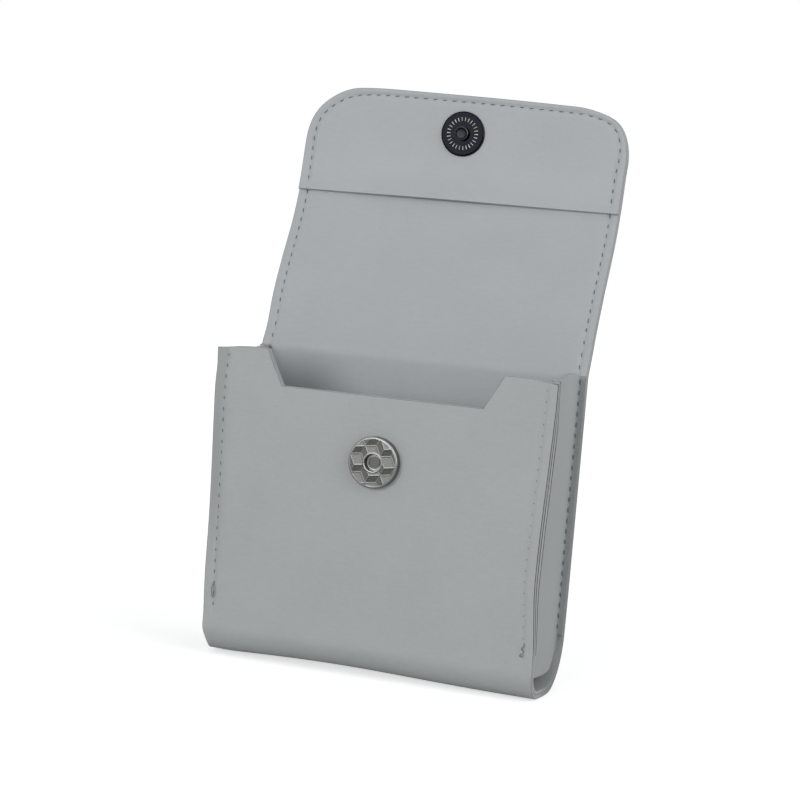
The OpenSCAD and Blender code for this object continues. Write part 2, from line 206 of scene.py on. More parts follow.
class Sheet:
    """The long leather sheet in side view: front, base, back, hinge, span and tip."""

    def __init__(self):
        z = sizes()
        self.shell_t = z.outer_t + z.lining_t
        self.side_x = SHELL_HIGH.x
        quarter = math.pi / 2
        sweep = SPAN_LEAN - TIP_LEAN
        hinge_tangent = z.hinge_bend_r * math.tan(SPAN_LEAN / 2)
        span_len = (FOLD - HINGE).length
        base_len = SHELL_HIGH.y - SHELL_LOW.y - z.front_bend_r - z.back_bend_r
        runs = [
            (z.front_h - z.front_bend_r, 0),
            (z.front_bend_r * quarter, quarter),
            (base_len, 0),
            (z.back_bend_r * quarter, quarter),
            (HINGE.z - hinge_tangent - z.back_bend_r, 0),
            ((z.hinge_bend_r - self.shell_t / 2) * SPAN_LEAN, -SPAN_LEAN),
            (span_len + z.tip_root - hinge_tangent, 0),
            ((z.tip_bend_r + self.shell_t / 2) * sweep, sweep),
            (z.tip_straight, 0),
        ]
        self.path = Path((SHELL_LOW.y, z.front_h), -quarter, runs)
        self.front_end, self.base_start, self.base_end, self.back_start, self.hinge_s = self.path.starts[1:6]
        self.split_s = self.path.starts[6] + span_len / 2 - hinge_tangent
        self.end_s = self.path.length
        self.corner_s = self.end_s - z.tip_corner_r
        bend = np.linspace(self.path.starts[7], self.path.starts[8], 200)
        points, normals = self.path.at(bend)
        inner = points - self.shell_t * normals
        self.facing_s = float(np.interp(FACING_FOOT, inner[:, 1], bend))

    def is_split(self, plan):
        """Where the leather runs on from the body's piece into the flap's."""
        return np.abs(plan[:, 1] - self.split_s) < 0.001 * MM

    def seam_dip(self, x, s, side):
        """How far the side seams draw the leather in: the front's outside and both faces further on."""
        z = sizes()
        inset = self.side_x - np.abs(x)
        on_front = smooth((self.base_start - 14 * MM - s) / (8 * MM)) * smooth(s / (3 * MM)) * (side > 0)
        on_back = smooth((s - self.back_start) / (5 * MM)) * smooth((self.facing_s - s) / MM + 1)
        dip = on_front * near(inset, z.front_seam, 0.55 * MM)
        dip = dip + on_back * near(inset, self.back_inset(s), 0.5 * MM) * (inset < 8 * MM)
        return z.seam_dip * np.minimum(dip, 1)

    def back_inset(self, s):
        """Stitches to the edge on the back panel, which drift inwards on the flap."""
        z = sizes()
        return z.back_seam + (z.flap_seam - z.back_seam) * smooth((s - self.hinge_s + 40 * MM) / (50 * MM))

    def tongue_inset(self, s):
        """Stitches to the edge on the flap, which come closer to it along the end."""
        along_end = smooth((s - self.end_s + 22 * MM) / (18 * MM))
        return self.back_inset(s) + (sizes().top_seam - sizes().flap_seam) * along_end

    def place(self, x, s, depth, side=0, edge=None):
        """Settled point of the sheet at a depth under its outer face.

        side is 1 on the outer face, -1 on the inner one and 0 between. edge, the distance to the
        piece's own edge, is not used here; the flap's seam reads it in its own place."""
        x, s, depth = np.broadcast_arrays(np.asarray(x, float), s, depth)
        depth = depth + side * self.seam_dip(x, s, side)
        points, normals = self.path.at(s)
        points = points - depth[..., None] * normals
        return soften(np.stack([x, points[..., 0], points[..., 1]], -1))

    def normal(self, s, side):
        """Outward direction of the outer or the inner face."""
        normals = side * self.path.at(s)[1]
        return np.stack([np.zeros(len(normals)), normals[..., 0], normals[..., 1]], -1)


def to_side(x):
    """0 along the middle of a panel and 1 at its side edges, from a place in mm."""
    return smooth((np.abs(x) - 26) / (SIDE - 26))


def to_front(y):
    """0 inside the pocket and 1 at the front panel, from a place in mm."""
    return smooth((9 - y) / (9 - FRONT))


def in_front(y):
    """1 on the front panel and its ears and 0 on everything behind the pocket, from a place in mm."""
    return smooth((2 - y) / 8)


def off_snap(x, z, snap, reach):
    """0 at a snap half, which holds the leather flat, and 1 out of its reach, from places in mm."""
    return 1 - near(np.hypot(x - snap.x / MM, z - snap.z / MM), 0, reach)


def settled_sides(x, y, z):
    """Both sides are drawn in, the left one most at its foot, and the rims inside them turn out."""
    in_pouch = smooth((HINGE.z / MM - 4 - z) / 10)
    waist_right = 1.35 * bump(z, 11, 33, 86)
    waist_left = 1.9 * np.clip((84 - z) / 72, 0, 1) - 0.3
    foot_left = (0.9 * smooth((8 - z) / 6) + 0.4 * smooth((26 - z) / 16)) * smooth((-38 - x) / 9)
    inward = np.where(x > 0, waist_right, waist_left + foot_left) * to_side(x) * to_front(y)
    rim = smooth((np.abs(x) - 44.5) / 3)
    flare = 0.75 * rim * near(y, FRONT + 2.8, 1.5) * bump(z, 8, 40, 130)
    return np.sign(x) * (flare - inward) * in_pouch, 0, 0


def settled_panels(x, y, z):
    """Back and front bow out between their edges, and the front's left edge turns back."""
    to_back = smooth((y - 6) / (BACK - 6))
    bow = 0.75 * bump(z, 4, 27, 84) * to_back * (1 - 0.35 * to_side(x))
    belly = 0.45 * bump(z, 4, 40, 82) * smooth((SIDE - np.abs(x)) / 30) * to_front(y)
    turned = 1.1 * smooth((-43.2 - x) / 5.3) * to_front(y) ** 2 * bump(z, 12, 42, 86)
    return 0, bow - belly * off_snap(x, z, SNAP, 16) + turned, 0


def settled_ears(x, y, z):
    """The front's ears beside the notch dip towards their corners, and the left one points outwards."""
    ear = smooth((z - 74) / 12) * smooth((6 - y) / 10) * in_front(y)
    left = 0.5 * near(x, -37, 6) - 0.55 * smooth((-43 - x) / 5.5)
    right = -0.75 * smooth((x - 40) / 8) - 0.25 * smooth((34 - x) / 3) * (x > 30)
    left_tip = smooth((-44.5 - x) / 3) * smooth((z - 79) / 9) * in_front(y)
    return -0.9 * left_tip, 0, ear * (left + right)


def settled_base(x, y, z):
    """The front's base line lifts a little off the ground, most of all left of its middle."""
    heel = smooth((3 - y) / 9) * smooth((15 - z) / 14)
    lift = 0.35 + 1.2 * near(x, -10, 33) + 0.3 * smooth((-40 - x) / 8)
    return 0, 0, heel * lift


def settled_flap(x, y, z):
    """The flap is drawn in at its sides, hangs forwards and ends a little lower, most on the right."""
    right = 0.25 * smooth((z - HINGE.z / MM) / 14) - 0.35 * near(z, 152, 6)
    left = 0.45 * near(z, 151, 7) + 0.9 * near(z, HINGE.z / MM + 3, 8)
    narrow = np.where(x > 0, right, left) * smooth((np.abs(x) - 30) / 15)
    forward = 1.2 * bump(z, HINGE.z / MM, 121, 150)
    slope = 0.55 - 0.02 * x - 0.0004 * np.maximum(x, 0) ** 2
    drop = 1.5 * smooth((z - 104) / 26)
    return -np.sign(x) * narrow, -forward, slope * smooth((z - 135) / 24) - drop


def settled_flap_corners(x, y, z):
    """The flap's right end corner is fuller than its left one."""
    right = near(x, 43, 6) * near(z, 156, 7)
    left = near(x, -38, 8) * near(z, 156, 7)
    return 1.3 * right + 0.6 * left, 0, 1.6 * right - 1.7 * left


def ripples(x, y, z):
    """Faint waves of the leather, none at the snap halves or at the foot."""
    wave = np.sin(x / 17 + z / 31 + 0.7) * np.sin(z / 23 - x / 47 + 1.9)
    wave = wave + 0.5 * np.sin(x / 8.3 - z / 13 + 2.2)
    calm = off_snap(x, z, SNAP, 16) * off_snap(x, z, STUD, 14)
    return 0, 0.085 * wave * calm * smooth((z - 3) / 12), 0


def soften(p):
    """Moves points of the ideal case to where the soft leather has settled."""
    x, y, z = np.moveaxis(p, -1, 0) / MM
    moved = p.copy()
    share = sizes().settling * MM
    for settled in (
        settled_sides, settled_panels, settled_ears, settled_base, settled_flap, settled_flap_corners, ripples
    ):
        for axis, shift in enumerate(settled(x, y, z)):
            moved[..., axis] += share * shift
    return moved


def steps(*stops):
    """Values from stop to stop, each run in the given number of equal steps."""
    values = [stops[0]]
    for count, stop in zip(stops[1::2], stops[2::2]):
        values.extend(np.linspace(values[-1], stop, count + 1)[1:])
    return np.array(values)


# Distances from an edge of the leather at which a plan has its lines, close together along the rim
RIM_INSETS = np.array([0, 0.35, 0.7, 1.05, 1.4, 1.7, 2.0, 2.3, 2.6, 2.9, 3.2, 3.6, 4.1, 4.8, 6, 8]) * MM


def grid_faces(columns, rows, first=0):
    """Quads between the points of a grid whose points run row by row inside each column."""
    i, j = np.meshgrid(np.arange(columns - 1), np.arange(rows - 1), indexing="ij")
    a = (first + i * rows + j).ravel()
    return np.stack([a, a + rows, a + rows + 1, a + 1], -1)


def merged(points, faces):
    """The plan with points that lie in one place made one."""
    keys = np.round(points / (0.001 * MM)).astype(np.int64)
    _, first, back = np.unique(keys, axis=0, return_index=True, return_inverse=True)
    return points[first], back.reshape(-1)[faces]


def outline_loop(faces):
    """The border of a plan as a ring of point numbers."""
    edges = np.concatenate([faces[:, [k, (k + 1) % 4]] for k in range(4)])
    known = {tuple(e) for e in edges}
    following = {a: b for a, b in known if (b, a) not in known}
    ring = [min(following)]
    while following[ring[-1]] != ring[0]:
        ring.append(following[ring[-1]])
    return np.array(ring)


def border_normals(border, is_cut):
    """Outward direction at each border point, which keeps the rim even round corners."""
    after = np.roll(border, -1, 0) - border
    length = np.linalg.norm(after, axis=1, keepdims=True)
    normal = np.stack([after[:, 1], -after[:, 0]], -1) / length
    cut = is_cut(border) & is_cut(np.roll(border, -1, 0))
    normal[cut] = 0
    before = np.roll(normal, 1, 0)
    joint = np.sum(before * normal, 1, keepdims=True)
    both = (np.any(before != 0, 1) & np.any(normal != 0, 1))[:, None]
    return np.where(both, (before + normal) / np.maximum(1 + joint, 0.6), before + normal), cut


def distance_to_border(points, border, cut):
    """Shortest distance from each point to the border, left out where it is a plain cut."""
    best = np.full(len(points), np.inf)
    for k in np.flatnonzero(~cut):
        a, b = border[k], border[(k + 1) % len(border)]
        t = np.clip((points - a) @ (b - a) / np.dot(b - a, b - a), 0, 1)
        best = np.minimum(best, np.linalg.norm(points - a - t[:, None] * (b - a), axis=1))
    return best


def new_object(name, verts, faces, material):
    """A mesh of one material, with its place in its points."""
    mesh = bpy.data.meshes.new(name)
    mesh.from_pydata([tuple(v) for v in verts], [], [tuple(int(i) for i in f) for f in faces])
    mesh.materials.append(material)
    piece = bpy.data.objects.new(name, mesh)
    bpy.context.scene.collection.objects.link(piece)
    return piece


def finish_mesh(piece, crease=35):
    """Turns all faces outwards and shades them smooth but for true creases."""
    work = bmesh.new()
    work.from_mesh(piece.data)
    bmesh.ops.recalc_face_normals(work, faces=work.faces)
    work.to_mesh(piece.data)
    work.free()
    piece.data.polygons.foreach_set("use_smooth", [True] * len(piece.data.polygons))
    piece.data.set_sharp_from_angle(angle=math.radians(crease))
    return piece


def leather_piece(name, plan, place, outer, inner, material, is_cut=None, painted_shades=None):
    """Thickens a plan into one closed leather piece with rounded rims.

    The plan's faces are laid at two depths by place, and the rim between them is rounded except
    where is_cut says that the leather runs on into the next piece. The last argument gives the
    shares of painted shade on cut edges, in gaps and on a band at points of the plan."""
    points, faces = plan
    is_cut = is_cut or (lambda p: np.zeros(len(p), bool))
    rim, rim_steps = sizes().rim_r, 3
    ring = outline_loop(faces)
    border = points[ring]
    normals, cut = border_normals(border, is_cut)
    edge = distance_to_border(points, border, cut)
    inset = points.copy()
    inset[ring] = border - rim * normals
    layers = [(inset, edge, outer, 1, 0)]
    for side, face, order in ((1, outer, range(1, rim_steps + 1)), (-1, inner, range(rim_steps, 0, -1))):
        for k in order:
            turn = k / rim_steps * math.pi / 2
            flat = border - rim * (1 - math.sin(turn)) * normals
            layers.append((flat, edge[ring], face + side * rim * (1 - math.cos(turn)), side, k))
    layers.append((inset, edge, inner, -1, 0))
    verts, plan_xy, through = [], [], []
    for flat, far, depth, side, k in layers:
        verts.append(place(flat[:, 0], flat[:, 1], depth, side, far))
        plan_xy.append(flat)
        share = 0.5 * k / rim_steps
        through.append(np.full(len(flat), share if side > 0 else 1 - share))
    starts = np.cumsum([0] + [len(v) for v in verts])
    all_faces = [faces[:, ::-1], faces + starts[-2]]
    rings = [ring] + [starts[i] + np.arange(len(ring)) for i in range(1, len(layers) - 1)]
    rings.append(starts[-2] + ring)
    for a, b in zip(rings[:-1], rings[1:]):
        all_faces.append(np.stack([a, np.roll(a, -1), np.roll(b, -1), b], -1))
    piece = new_object(name, np.concatenate(verts), np.concatenate(all_faces), material)
    plan_xy = np.concatenate(plan_xy)
    values = {"layer": np.concatenate(through)}
    values.update(zip(("painted_edge_shade", "gap", "painted_band_shade"), painted_shades(plan_xy) if painted_shades else ()))
    add_sheet_data(piece.data, plan_xy, values)
    return finish_mesh(piece)


def add_sheet_data(mesh, plan_xy, values):
    """Stores where each point lies on the flat leather, for the grain, and the shares of its layer and of its
    painted shade.
    """
    uv = mesh.uv_layers.new(name="sheet")
    corner = np.zeros(len(mesh.loops), np.int64)
    mesh.loops.foreach_get("vertex_index", corner)
    uv.data.foreach_set("uv", plan_xy[corner].astype(np.float32).ravel())
    for name, shares in values.items():
        mesh.attributes.new(name, "FLOAT", "POINT").data.foreach_set("value", shares.astype(np.float32))


def body_plan(sheet):
    """Plan of the sheet from the front panel's notched top edge to the cut beyond the hinge."""
    z = sizes()
    half_top, half_floor = z.notch_top_w / 2, z.notch_floor_w / 2
    beside = sheet.side_x - RIM_INSETS
    corner = 0.8 * MM
    half = np.concatenate([
        beside,
        steps(beside[-1], 3, half_top + corner, 1, half_top)[1:],
        steps(half_top, 6, half_floor)[1:],
        steps(half_floor, 1, half_floor - corner, 11, 0)[1:],
    ])
    columns = np.concatenate([-half, half[-2::-1]])
    top = z.notch_depth * np.clip((half_top - np.abs(columns)) / (half_top - half_floor), 0, 1)
    even_s = 26 * MM
    share = np.concatenate([RIM_INSETS[:6] / even_s, steps(RIM_INSETS[6] / even_s, 11, 1)])
    near_top = top[:, None] + (even_s - top[:, None]) * share[None, :]
    below = steps(
        even_s, 20, sheet.front_end - MM, 14, sheet.base_start + MM, 3, sheet.base_end - MM,
        18, sheet.back_start + MM, 26, sheet.hinge_s - 8 * MM, 16, sheet.hinge_s + 8 * MM,
        4, sheet.split_s,
    )[1:]
    rows = np.concatenate([near_top, np.broadcast_to(below, (len(columns), len(below)))], 1)
    points = np.stack([np.broadcast_to(columns[:, None], rows.shape), rows], -1).reshape(-1, 2)
    return points, grid_faces(len(columns), rows.shape[1])


def tongue_border(sheet, sides, arc_steps, top_steps):
    """Outline of the flap up the right side, over the end and down the left, with its normals."""
    r = sizes().tip_corner_r
    inner_x = sheet.side_x - r
    border = [(sheet.side_x, s) for s in sides[:-1]]
    normal = [(1.0, 0.0)] * len(border)
    for turn in steps(0, arc_steps, math.pi / 2):
        border.append((inner_x + r * math.cos(turn), sides[-1] + r * math.sin(turn)))
        normal.append((math.cos(turn), math.sin(turn)))
    for x in steps(inner_x, top_steps // 2, 0)[1:]:
        border.append((x, sheet.end_s))
        normal.append((0.0, 1.0))
    half = np.array([border, normal])
    mirrored = half[:, -2::-1] * np.array([-1, 1])
    return np.concatenate([half, mirrored], 1)


def tongue_plan(sheet, sides):
    """Plan of the flap from the first of the side steps to its rounded end, in bands along its outline."""
    arc_steps = 16
    border, normal = tongue_border(sheet, sides, arc_steps, 26)
    bands = border[:, None, :] - RIM_INSETS[None, :, None] * normal[:, None, :]
    band_points = bands.reshape(-1, 2)
    band_faces = grid_faces(len(border), len(RIM_INSETS))
    inner = bands[:, -1]
    turn_at = len(sides) - 1 + arc_steps // 2
    across = len(inner) - 2 * turn_at
    right_side = inner[:turn_at + 1]
    far_side = inner[turn_at:turn_at + across]
    left_side = inner[::-1][:turn_at + 1]
    u = (far_side[0, 0] - far_side[:, 0]) / (far_side[0, 0] - far_side[-1, 0])
    v = (np.arange(turn_at + 1) / turn_at)[None, :, None]
    near_side = right_side[0] + u[:, None] * (left_side[0] - right_side[0])
    u = u[:, None, None]
    core = (
        (1 - u) * right_side[None] + u * left_side[None]
        + (1 - v) * near_side[:, None] + v * far_side[:, None]
        - (1 - u) * (1 - v) * right_side[0] - u * (1 - v) * left_side[0]
        - (1 - u) * v * right_side[-1] - u * v * left_side[-1]
    )
    core_faces = grid_faces(core.shape[0], core.shape[1], len(band_points))
    points = np.concatenate([band_points, core.reshape(-1, 2)])
    return merged(points, np.concatenate([band_faces, core_faces[:, ::-1]]))


def consistent(plan):
    """The plan with every face turned the same way round."""
    points, faces = plan
    a, b, c = points[faces[:, 0]], points[faces[:, 1]], points[faces[:, 2]]
    d = points[faces[:, 3]]
    area = np.cross(c - a, d - b)
    return points, np.where((area < 0)[:, None], faces[:, ::-1], faces)


def gusset_path():
    """Section of the right gusset seen from above, along the middle of its leather."""
    z = sizes()
    sheet_t = z.outer_t + z.lining_t
    fold = z.gusset_fold_r + z.gusset_t / 2
    bulge = math.radians(7)
    fold_x = SHELL_HIGH.x - z.gusset_inset - z.gusset_t / 2 + fold
    front_y = SHELL_LOW.y + sheet_t + z.gusset_t / 2
    half_wall = (SHELL_HIGH.y - SHELL_LOW.y) / 2 - sheet_t - z.gusset_t / 2 - fold
    wall_r = half_wall / math.sin(bulge) - fold
    turn = math.pi / 2 + bulge
    return Path((SHELL_HIGH.x, front_y), math.pi, [
        (SHELL_HIGH.x - fold_x, 0),
        (fold * turn, -turn),
        (wall_r * 2 * bulge, 2 * bulge),
        (fold * turn, -turn),
        (SHELL_HIGH.x - fold_x, 0),
    ])


def gusset_low(y, q, path):
    """Height of the gusset's lower edge: two rounded corners, and flanges that end higher up."""
    z = sizes()
    front = SHELL_LOW.y + z.outer_t + z.lining_t
    back = SHELL_HIGH.y - z.outer_t - z.lining_t
    front_r, back_r, back_rise = 4 * MM, 10 * MM, 0.65
    front_flange_end, back_flange_end = 13 * MM, 14.6 * MM
    into_front = np.clip(front + front_r - y, 0, front_r)
    into_back = np.clip(y - back + back_r, 0, back_r)
    low = z.gusset_low_z + front_r - np.sqrt(front_r ** 2 - into_front ** 2)
    low = low + back_rise * (back_r - np.sqrt(back_r ** 2 - into_back ** 2))
    low = np.maximum(low, np.where(q < path.starts[1], front_flange_end, 0))
    return np.maximum(low, np.where(q > path.starts[4], back_flange_end, 0))


def gusset_plan(path):
    """Plan of a gusset: the way round its section, and the height."""
    z = sizes()
    crease = 0.1 * MM
    columns = steps(
        0, 5, path.starts[1], 1, path.starts[1] + crease, 7, path.starts[2], 22, path.starts[3],
        7, path.starts[4] - crease, 1, path.starts[4], 1, path.starts[4] + crease, 5, path.length,
    )
    points, _ = path.at(columns)
    low = gusset_low(points[:, 1], columns, path)
    middle = (SHELL_LOW.y + SHELL_HIGH.y) / 2
    half = (SHELL_HIGH.y - SHELL_LOW.y) / 2 - z.outer_t - z.lining_t
    high = z.front_h + 0.6 * MM * (1 - ((points[:, 1] - middle) / half) ** 2)
    share = np.concatenate([[0, 0.006, 0.014, 0.024, 0.04], steps(0.06, 26, 0.97), [0.985, 0.993, 1]])
    rows = low[:, None] + (high - low)[:, None] * share[None, :]
    plan = np.stack([np.broadcast_to(columns[:, None], rows.shape), rows], -1).reshape(-1, 2)
    return plan, grid_faces(len(columns), rows.shape[1])


def gusset_place(path, sign):
    """Lays the gusset's plan round its section, on the right side (1) or the left one (-1).

    The right top edge rises in a low crown, the left one sags, and both walls wave a little."""

    def place(q, height, depth, side=0, edge=None):
        points, normals = path.at(q)
        points = points - np.asarray(depth, float)[..., None] * normals
        folded = np.stack([sign * points[..., 0], points[..., 1], height], -1)
        y, z = points[..., 1] / MM, height / MM
        middle = near(y, 3, 9)
        crown = 0.9 * near(y, 0, 13) if sign > 0 else -2.3 * middle
        folded[..., 2] += MM * crown * smooth((z - 68) / 18)
        folded[..., 0] += MM * sign * 0.5 * middle * np.sin(z / 11 + 0.6 * sign) * bump(z, 4, 30, 90)
        return soften(folded)

    return place


class Value:
    """A socket of a node tree that Python's operators work on."""

    def __init__(self, graph, socket):
        self.graph = graph
        self.socket = socket

    def maths(self, operation, *values):
        """A Math node on the given values."""
        return self.graph.node("ShaderNodeMath", {"operation": operation}, dict(enumerate(values)))["Value"]

    def __add__(self, other):
        return self.maths("ADD", self, other)

    __radd__ = __add__

    def __sub__(self, other):
        return self.maths("SUBTRACT", self, other)

    def __rsub__(self, other):
        return self.maths("SUBTRACT", other, self)

    def __mul__(self, other):
        return self.maths("MULTIPLY", self, other)

    __rmul__ = __mul__

    def __or__(self, other):
        """The larger of two masks."""
        return self.maths("MAXIMUM", self, other)

    def ramp(self, low, high):
        """0 at low and 1 at high, with an even rise between."""
        settings = {"interpolation_type": "SMOOTHSTEP"}
        return self.graph.node("ShaderNodeMapRange", settings, {"Value": self, 1: low, 2: high})["Result"]

    def band(self, start, full, fade, end):
        """Rises from 0 at start to 1 at full and falls from fade to 0 at end."""
        return self.ramp(start, full) * (1 - self.ramp(fade, end))


class Node:
    """A node whose outputs are looked up by name or number."""

    def __init__(self, graph, node):
        self.graph = graph
        self.node = node

    def __getitem__(self, key):
        return Value(self.graph, self.node.outputs[key])


class Graph:
    """Builds the nodes of a shader or of a geometry tree."""

    def __init__(self, tree):
        self.tree = tree

    def node(self, kind, settings=None, inputs=None):
        """Adds a node: its settings first, then the values or links of its sockets."""
        made = self.tree.nodes.new(kind)
        for name, value in (settings or {}).items():
            setattr(made, name, value)
        for key, value in (inputs or {}).items():
            socket = made.inputs[key]
            if isinstance(value, Value):
                self.tree.links.new(value.socket, socket)
            else:
                socket.default_value = value
        return Node(self, made)

    def attribute(self, name):
        """A number stored on the mesh."""
        return self.node("ShaderNodeAttribute", {"attribute_name": name})["Fac"]

    def vector(self, **parts):
        """A vector from its X, Y and Z."""
        return self.node("ShaderNodeCombineXYZ", None, parts)["Vector"]

    def mix(self, factor, a, b):
        """Mix of two colours."""
        inputs = {"Factor": factor, 6: a, 7: b}
        return self.node("ShaderNodeMix", {"data_type": "RGBA"}, inputs)[2]

    def noise(self, where, size_mm, detail, roughness):
        """Noise whose lumps are about the given size."""
        inputs = {"Vector": where, "Scale": 1 / (size_mm * MM), "Detail": detail, "Roughness": roughness}
        return self.node("ShaderNodeTexNoise", None, inputs)["Fac"]

    def stretched(self, where, x, y, z=1.0):
        """Coordinates scaled differently along each axis."""
        return self.node("ShaderNodeMapping", None, {"Vector": where, "Scale": (x, y, z)})["Vector"]

    def relief(self, height, strength, depth_mm):
        """Surface direction over a relief of the given depth."""
        inputs = {"Height": height, "Strength": strength, "Distance": depth_mm * MM}
        return self.node("ShaderNodeBump", None, inputs)["Normal"]


def linear(colour):
    """The scene colour of a colour as it shows on screen."""
    return tuple(c / 12.92 if c <= 0.04045 else ((c + 0.055) / 1.055) ** 2.4 for c in colour) + (1.0,)


def shaded(colour, factor):
    """The colour made darker or lighter."""
    return tuple(c * factor for c in colour[:3]) + (1.0,)


def empty_tree(owner):
    """The cleared node tree of a material or a world."""
    owner.use_nodes = True
    owner.node_tree.nodes.clear()
    return owner.node_tree


def new_material(name):
    """A material with an empty tree, its graph and its surface shader."""
    material = bpy.data.materials.new("case_" + name)
    graph = Graph(empty_tree(material))
    shader = graph.node("ShaderNodeBsdfPrincipled")
    graph.node("ShaderNodeOutputMaterial", None, {"Surface": shader["BSDF"]})
    return material, graph, shader.node


def connect(graph, shader, **values):
    """Links or sets sockets of the surface shader, with spaces written as underscores."""
    for name, value in values.items():
        socket = shader.inputs[name.replace("_", " ")]
        if isinstance(value, Value):
            graph.tree.links.new(value.socket, socket)
        else:
            socket.default_value = value


def leather_material(name, colour, grain_mm, depth_mm, roughness):
    """Coated leather: fine pebbled grain and faint cloudiness, with painted shade on the rims, in gaps, on
    cut edges and on a band.
    """
    material, graph, shader = new_material(name)
    base = linear(colour)
    uv = graph.node("ShaderNodeUVMap", {"uv_map": "sheet"})["UV"]
    layer = graph.attribute("layer")
    inputs = {"Vector": uv, "Scale": 1 / (grain_mm * MM), "Smoothness": 0.6, "Randomness": 1.0}
    cells = graph.node("ShaderNodeTexVoronoi", {"feature": "SMOOTH_F1"}, inputs)["Distance"]
    fine = graph.noise(uv, 0.16, 3.0, 0.6)
    creases = graph.noise(graph.stretched(uv, 0.32, 1.0), 1.0, 4.0, 0.62)
    cloud = graph.noise(uv, 19, 3.0, 0.55)
    specks = graph.noise(uv, 0.75, 2.0, 0.5).ramp(0.70, 0.78)
    tone = 0.07 * cloud + 0.10 * creases - 0.03 * cells - 0.01
    now = graph.mix(tone * 6.0, shaded(base, 0.90), shaded(base, 1.12))
    # Painted shade: a dark line where each face meets its rounded rim, in place of the shade between stacked
    # layers.
    parting_shade = layer.band(0.0, 0.16, 0.22, 0.42) + layer.band(0.58, 0.78, 0.84, 1.0)
    # Painted shade across the rim where the gap attribute is set, in the gaps beside the front panel.
    gap = layer.band(0.0, 0.1, 0.36, 0.5) + layer.band(0.5, 0.64, 0.9, 1.0)
    raw_edge = layer.band(0.04, 0.2, 0.9, 1.0)
    # Painted shade: rim lines, gaps beside the front, cut edges under and behind, and the band outside the
    # front's left seam; the lighter specks are the leather's own.
    for share, factor in (
        (specks * 0.3, 1.35),
        (parting_shade * 0.6, 0.30),
        (gap * graph.attribute("gap"), 0.18),
        (raw_edge * graph.attribute("painted_edge_shade"), 0.60),
        (graph.attribute("painted_band_shade"), 0.80),
    ):
        now = graph.mix(share, now, shaded(base, factor))
    rough = roughness + 0.10 * creases - 0.05 * cloud
    normal = graph.relief(0.55 * cells + 0.30 * fine + 0.55 * creases, 0.55, depth_mm)
    connect(graph, shader, Base_Color=now, Roughness=rough, Normal=normal)
    connect(graph, shader, Specular_IOR_Level=0.38, Sheen_Weight=0.06, Sheen_Roughness=0.6)
    return material


def metal_material(name, colour, roughness, dark=None):
    """Plated metal with fine wear; where dark is given, the tone attribute, which holds painted light and
    shade, runs it from dark to colour.
    """
    material, graph, shader = new_material(name)
    base = linear(colour)
    where = graph.node("ShaderNodeTexCoord")["Object"]
    smears = graph.noise(where, 2.4, 3.0, 0.6)
    scratches = graph.noise(graph.stretched(where, 1.0, 1.0, 7.0), 0.5, 3.0, 0.7)
    now = graph.mix(smears, shaded(base, 0.9), shaded(base, 1.06))
    if dark:
        now = graph.mix(graph.attribute("tone"), linear(dark), now)
    normal = graph.relief(scratches, 0.12, 0.01)
    connect(graph, shader, Base_Color=now, Metallic=1.0, Roughness=roughness + 0.14 * smears, Normal=normal)
    return material


def thread_material():
    """Twisted sewing thread, matte with a faint sheen."""
    material, graph, shader = new_material("thread")
    base = linear(colours().thread)
    where = graph.node("ShaderNodeTexCoord")["Object"]
    settings = {"wave_type": "BANDS", "bands_direction": "DIAGONAL"}
    inputs = {"Vector": where, "Scale": 1 / (0.9 * MM), "Distortion": 1.2}
    twist = graph.node("ShaderNodeTexWave", settings, inputs)["Fac"]
    fuzz = graph.noise(where, 0.12, 2.0, 0.6)
    now = graph.mix(twist * 0.5 + fuzz * 0.3, shaded(base, 0.72), shaded(base, 1.18))
    normal = graph.relief(twist + 0.5 * fuzz, 0.5, 0.05)
    connect(graph, shader, Base_Color=now, Roughness=0.78 + 0.1 * fuzz, Normal=normal)
    connect(graph, shader, Sheen_Weight=0.15, Specular_IOR_Level=0.3)
    return material


MATERIALS = {
    "leather": lambda: leather_material(
        "leather", colours().leather, grain_mm=0.55, depth_mm=0.055, roughness=0.50
    ),
    "lining": lambda: leather_material(
        "lining", colours().lining, grain_mm=0.42, depth_mm=0.035, roughness=0.47
    ),
    "thread": thread_material,
    "rivet": lambda: metal_material("rivet", colours().rivet, roughness=0.32),
    "pressed_nickel": lambda: metal_material(
        "pressed_nickel", colours().nickel, roughness=0.26, dark=tuple(colours().cap_ground)
    ),
    "pressed_dark_nickel": lambda: metal_material(
        "pressed_dark_nickel", colours().nickel, roughness=0.16, dark=tuple(colours().dark_nickel)
    ),
    "steel": lambda: metal_material("steel", colours().steel, roughness=0.34),
    "magnet": lambda: metal_material("magnet", colours().magnet, roughness=0.55),
}


def material_named(name):
    """The case's own material of this name, made when it is first asked for."""
    return bpy.data.materials.get("case_" + name) or MATERIALS[name]()


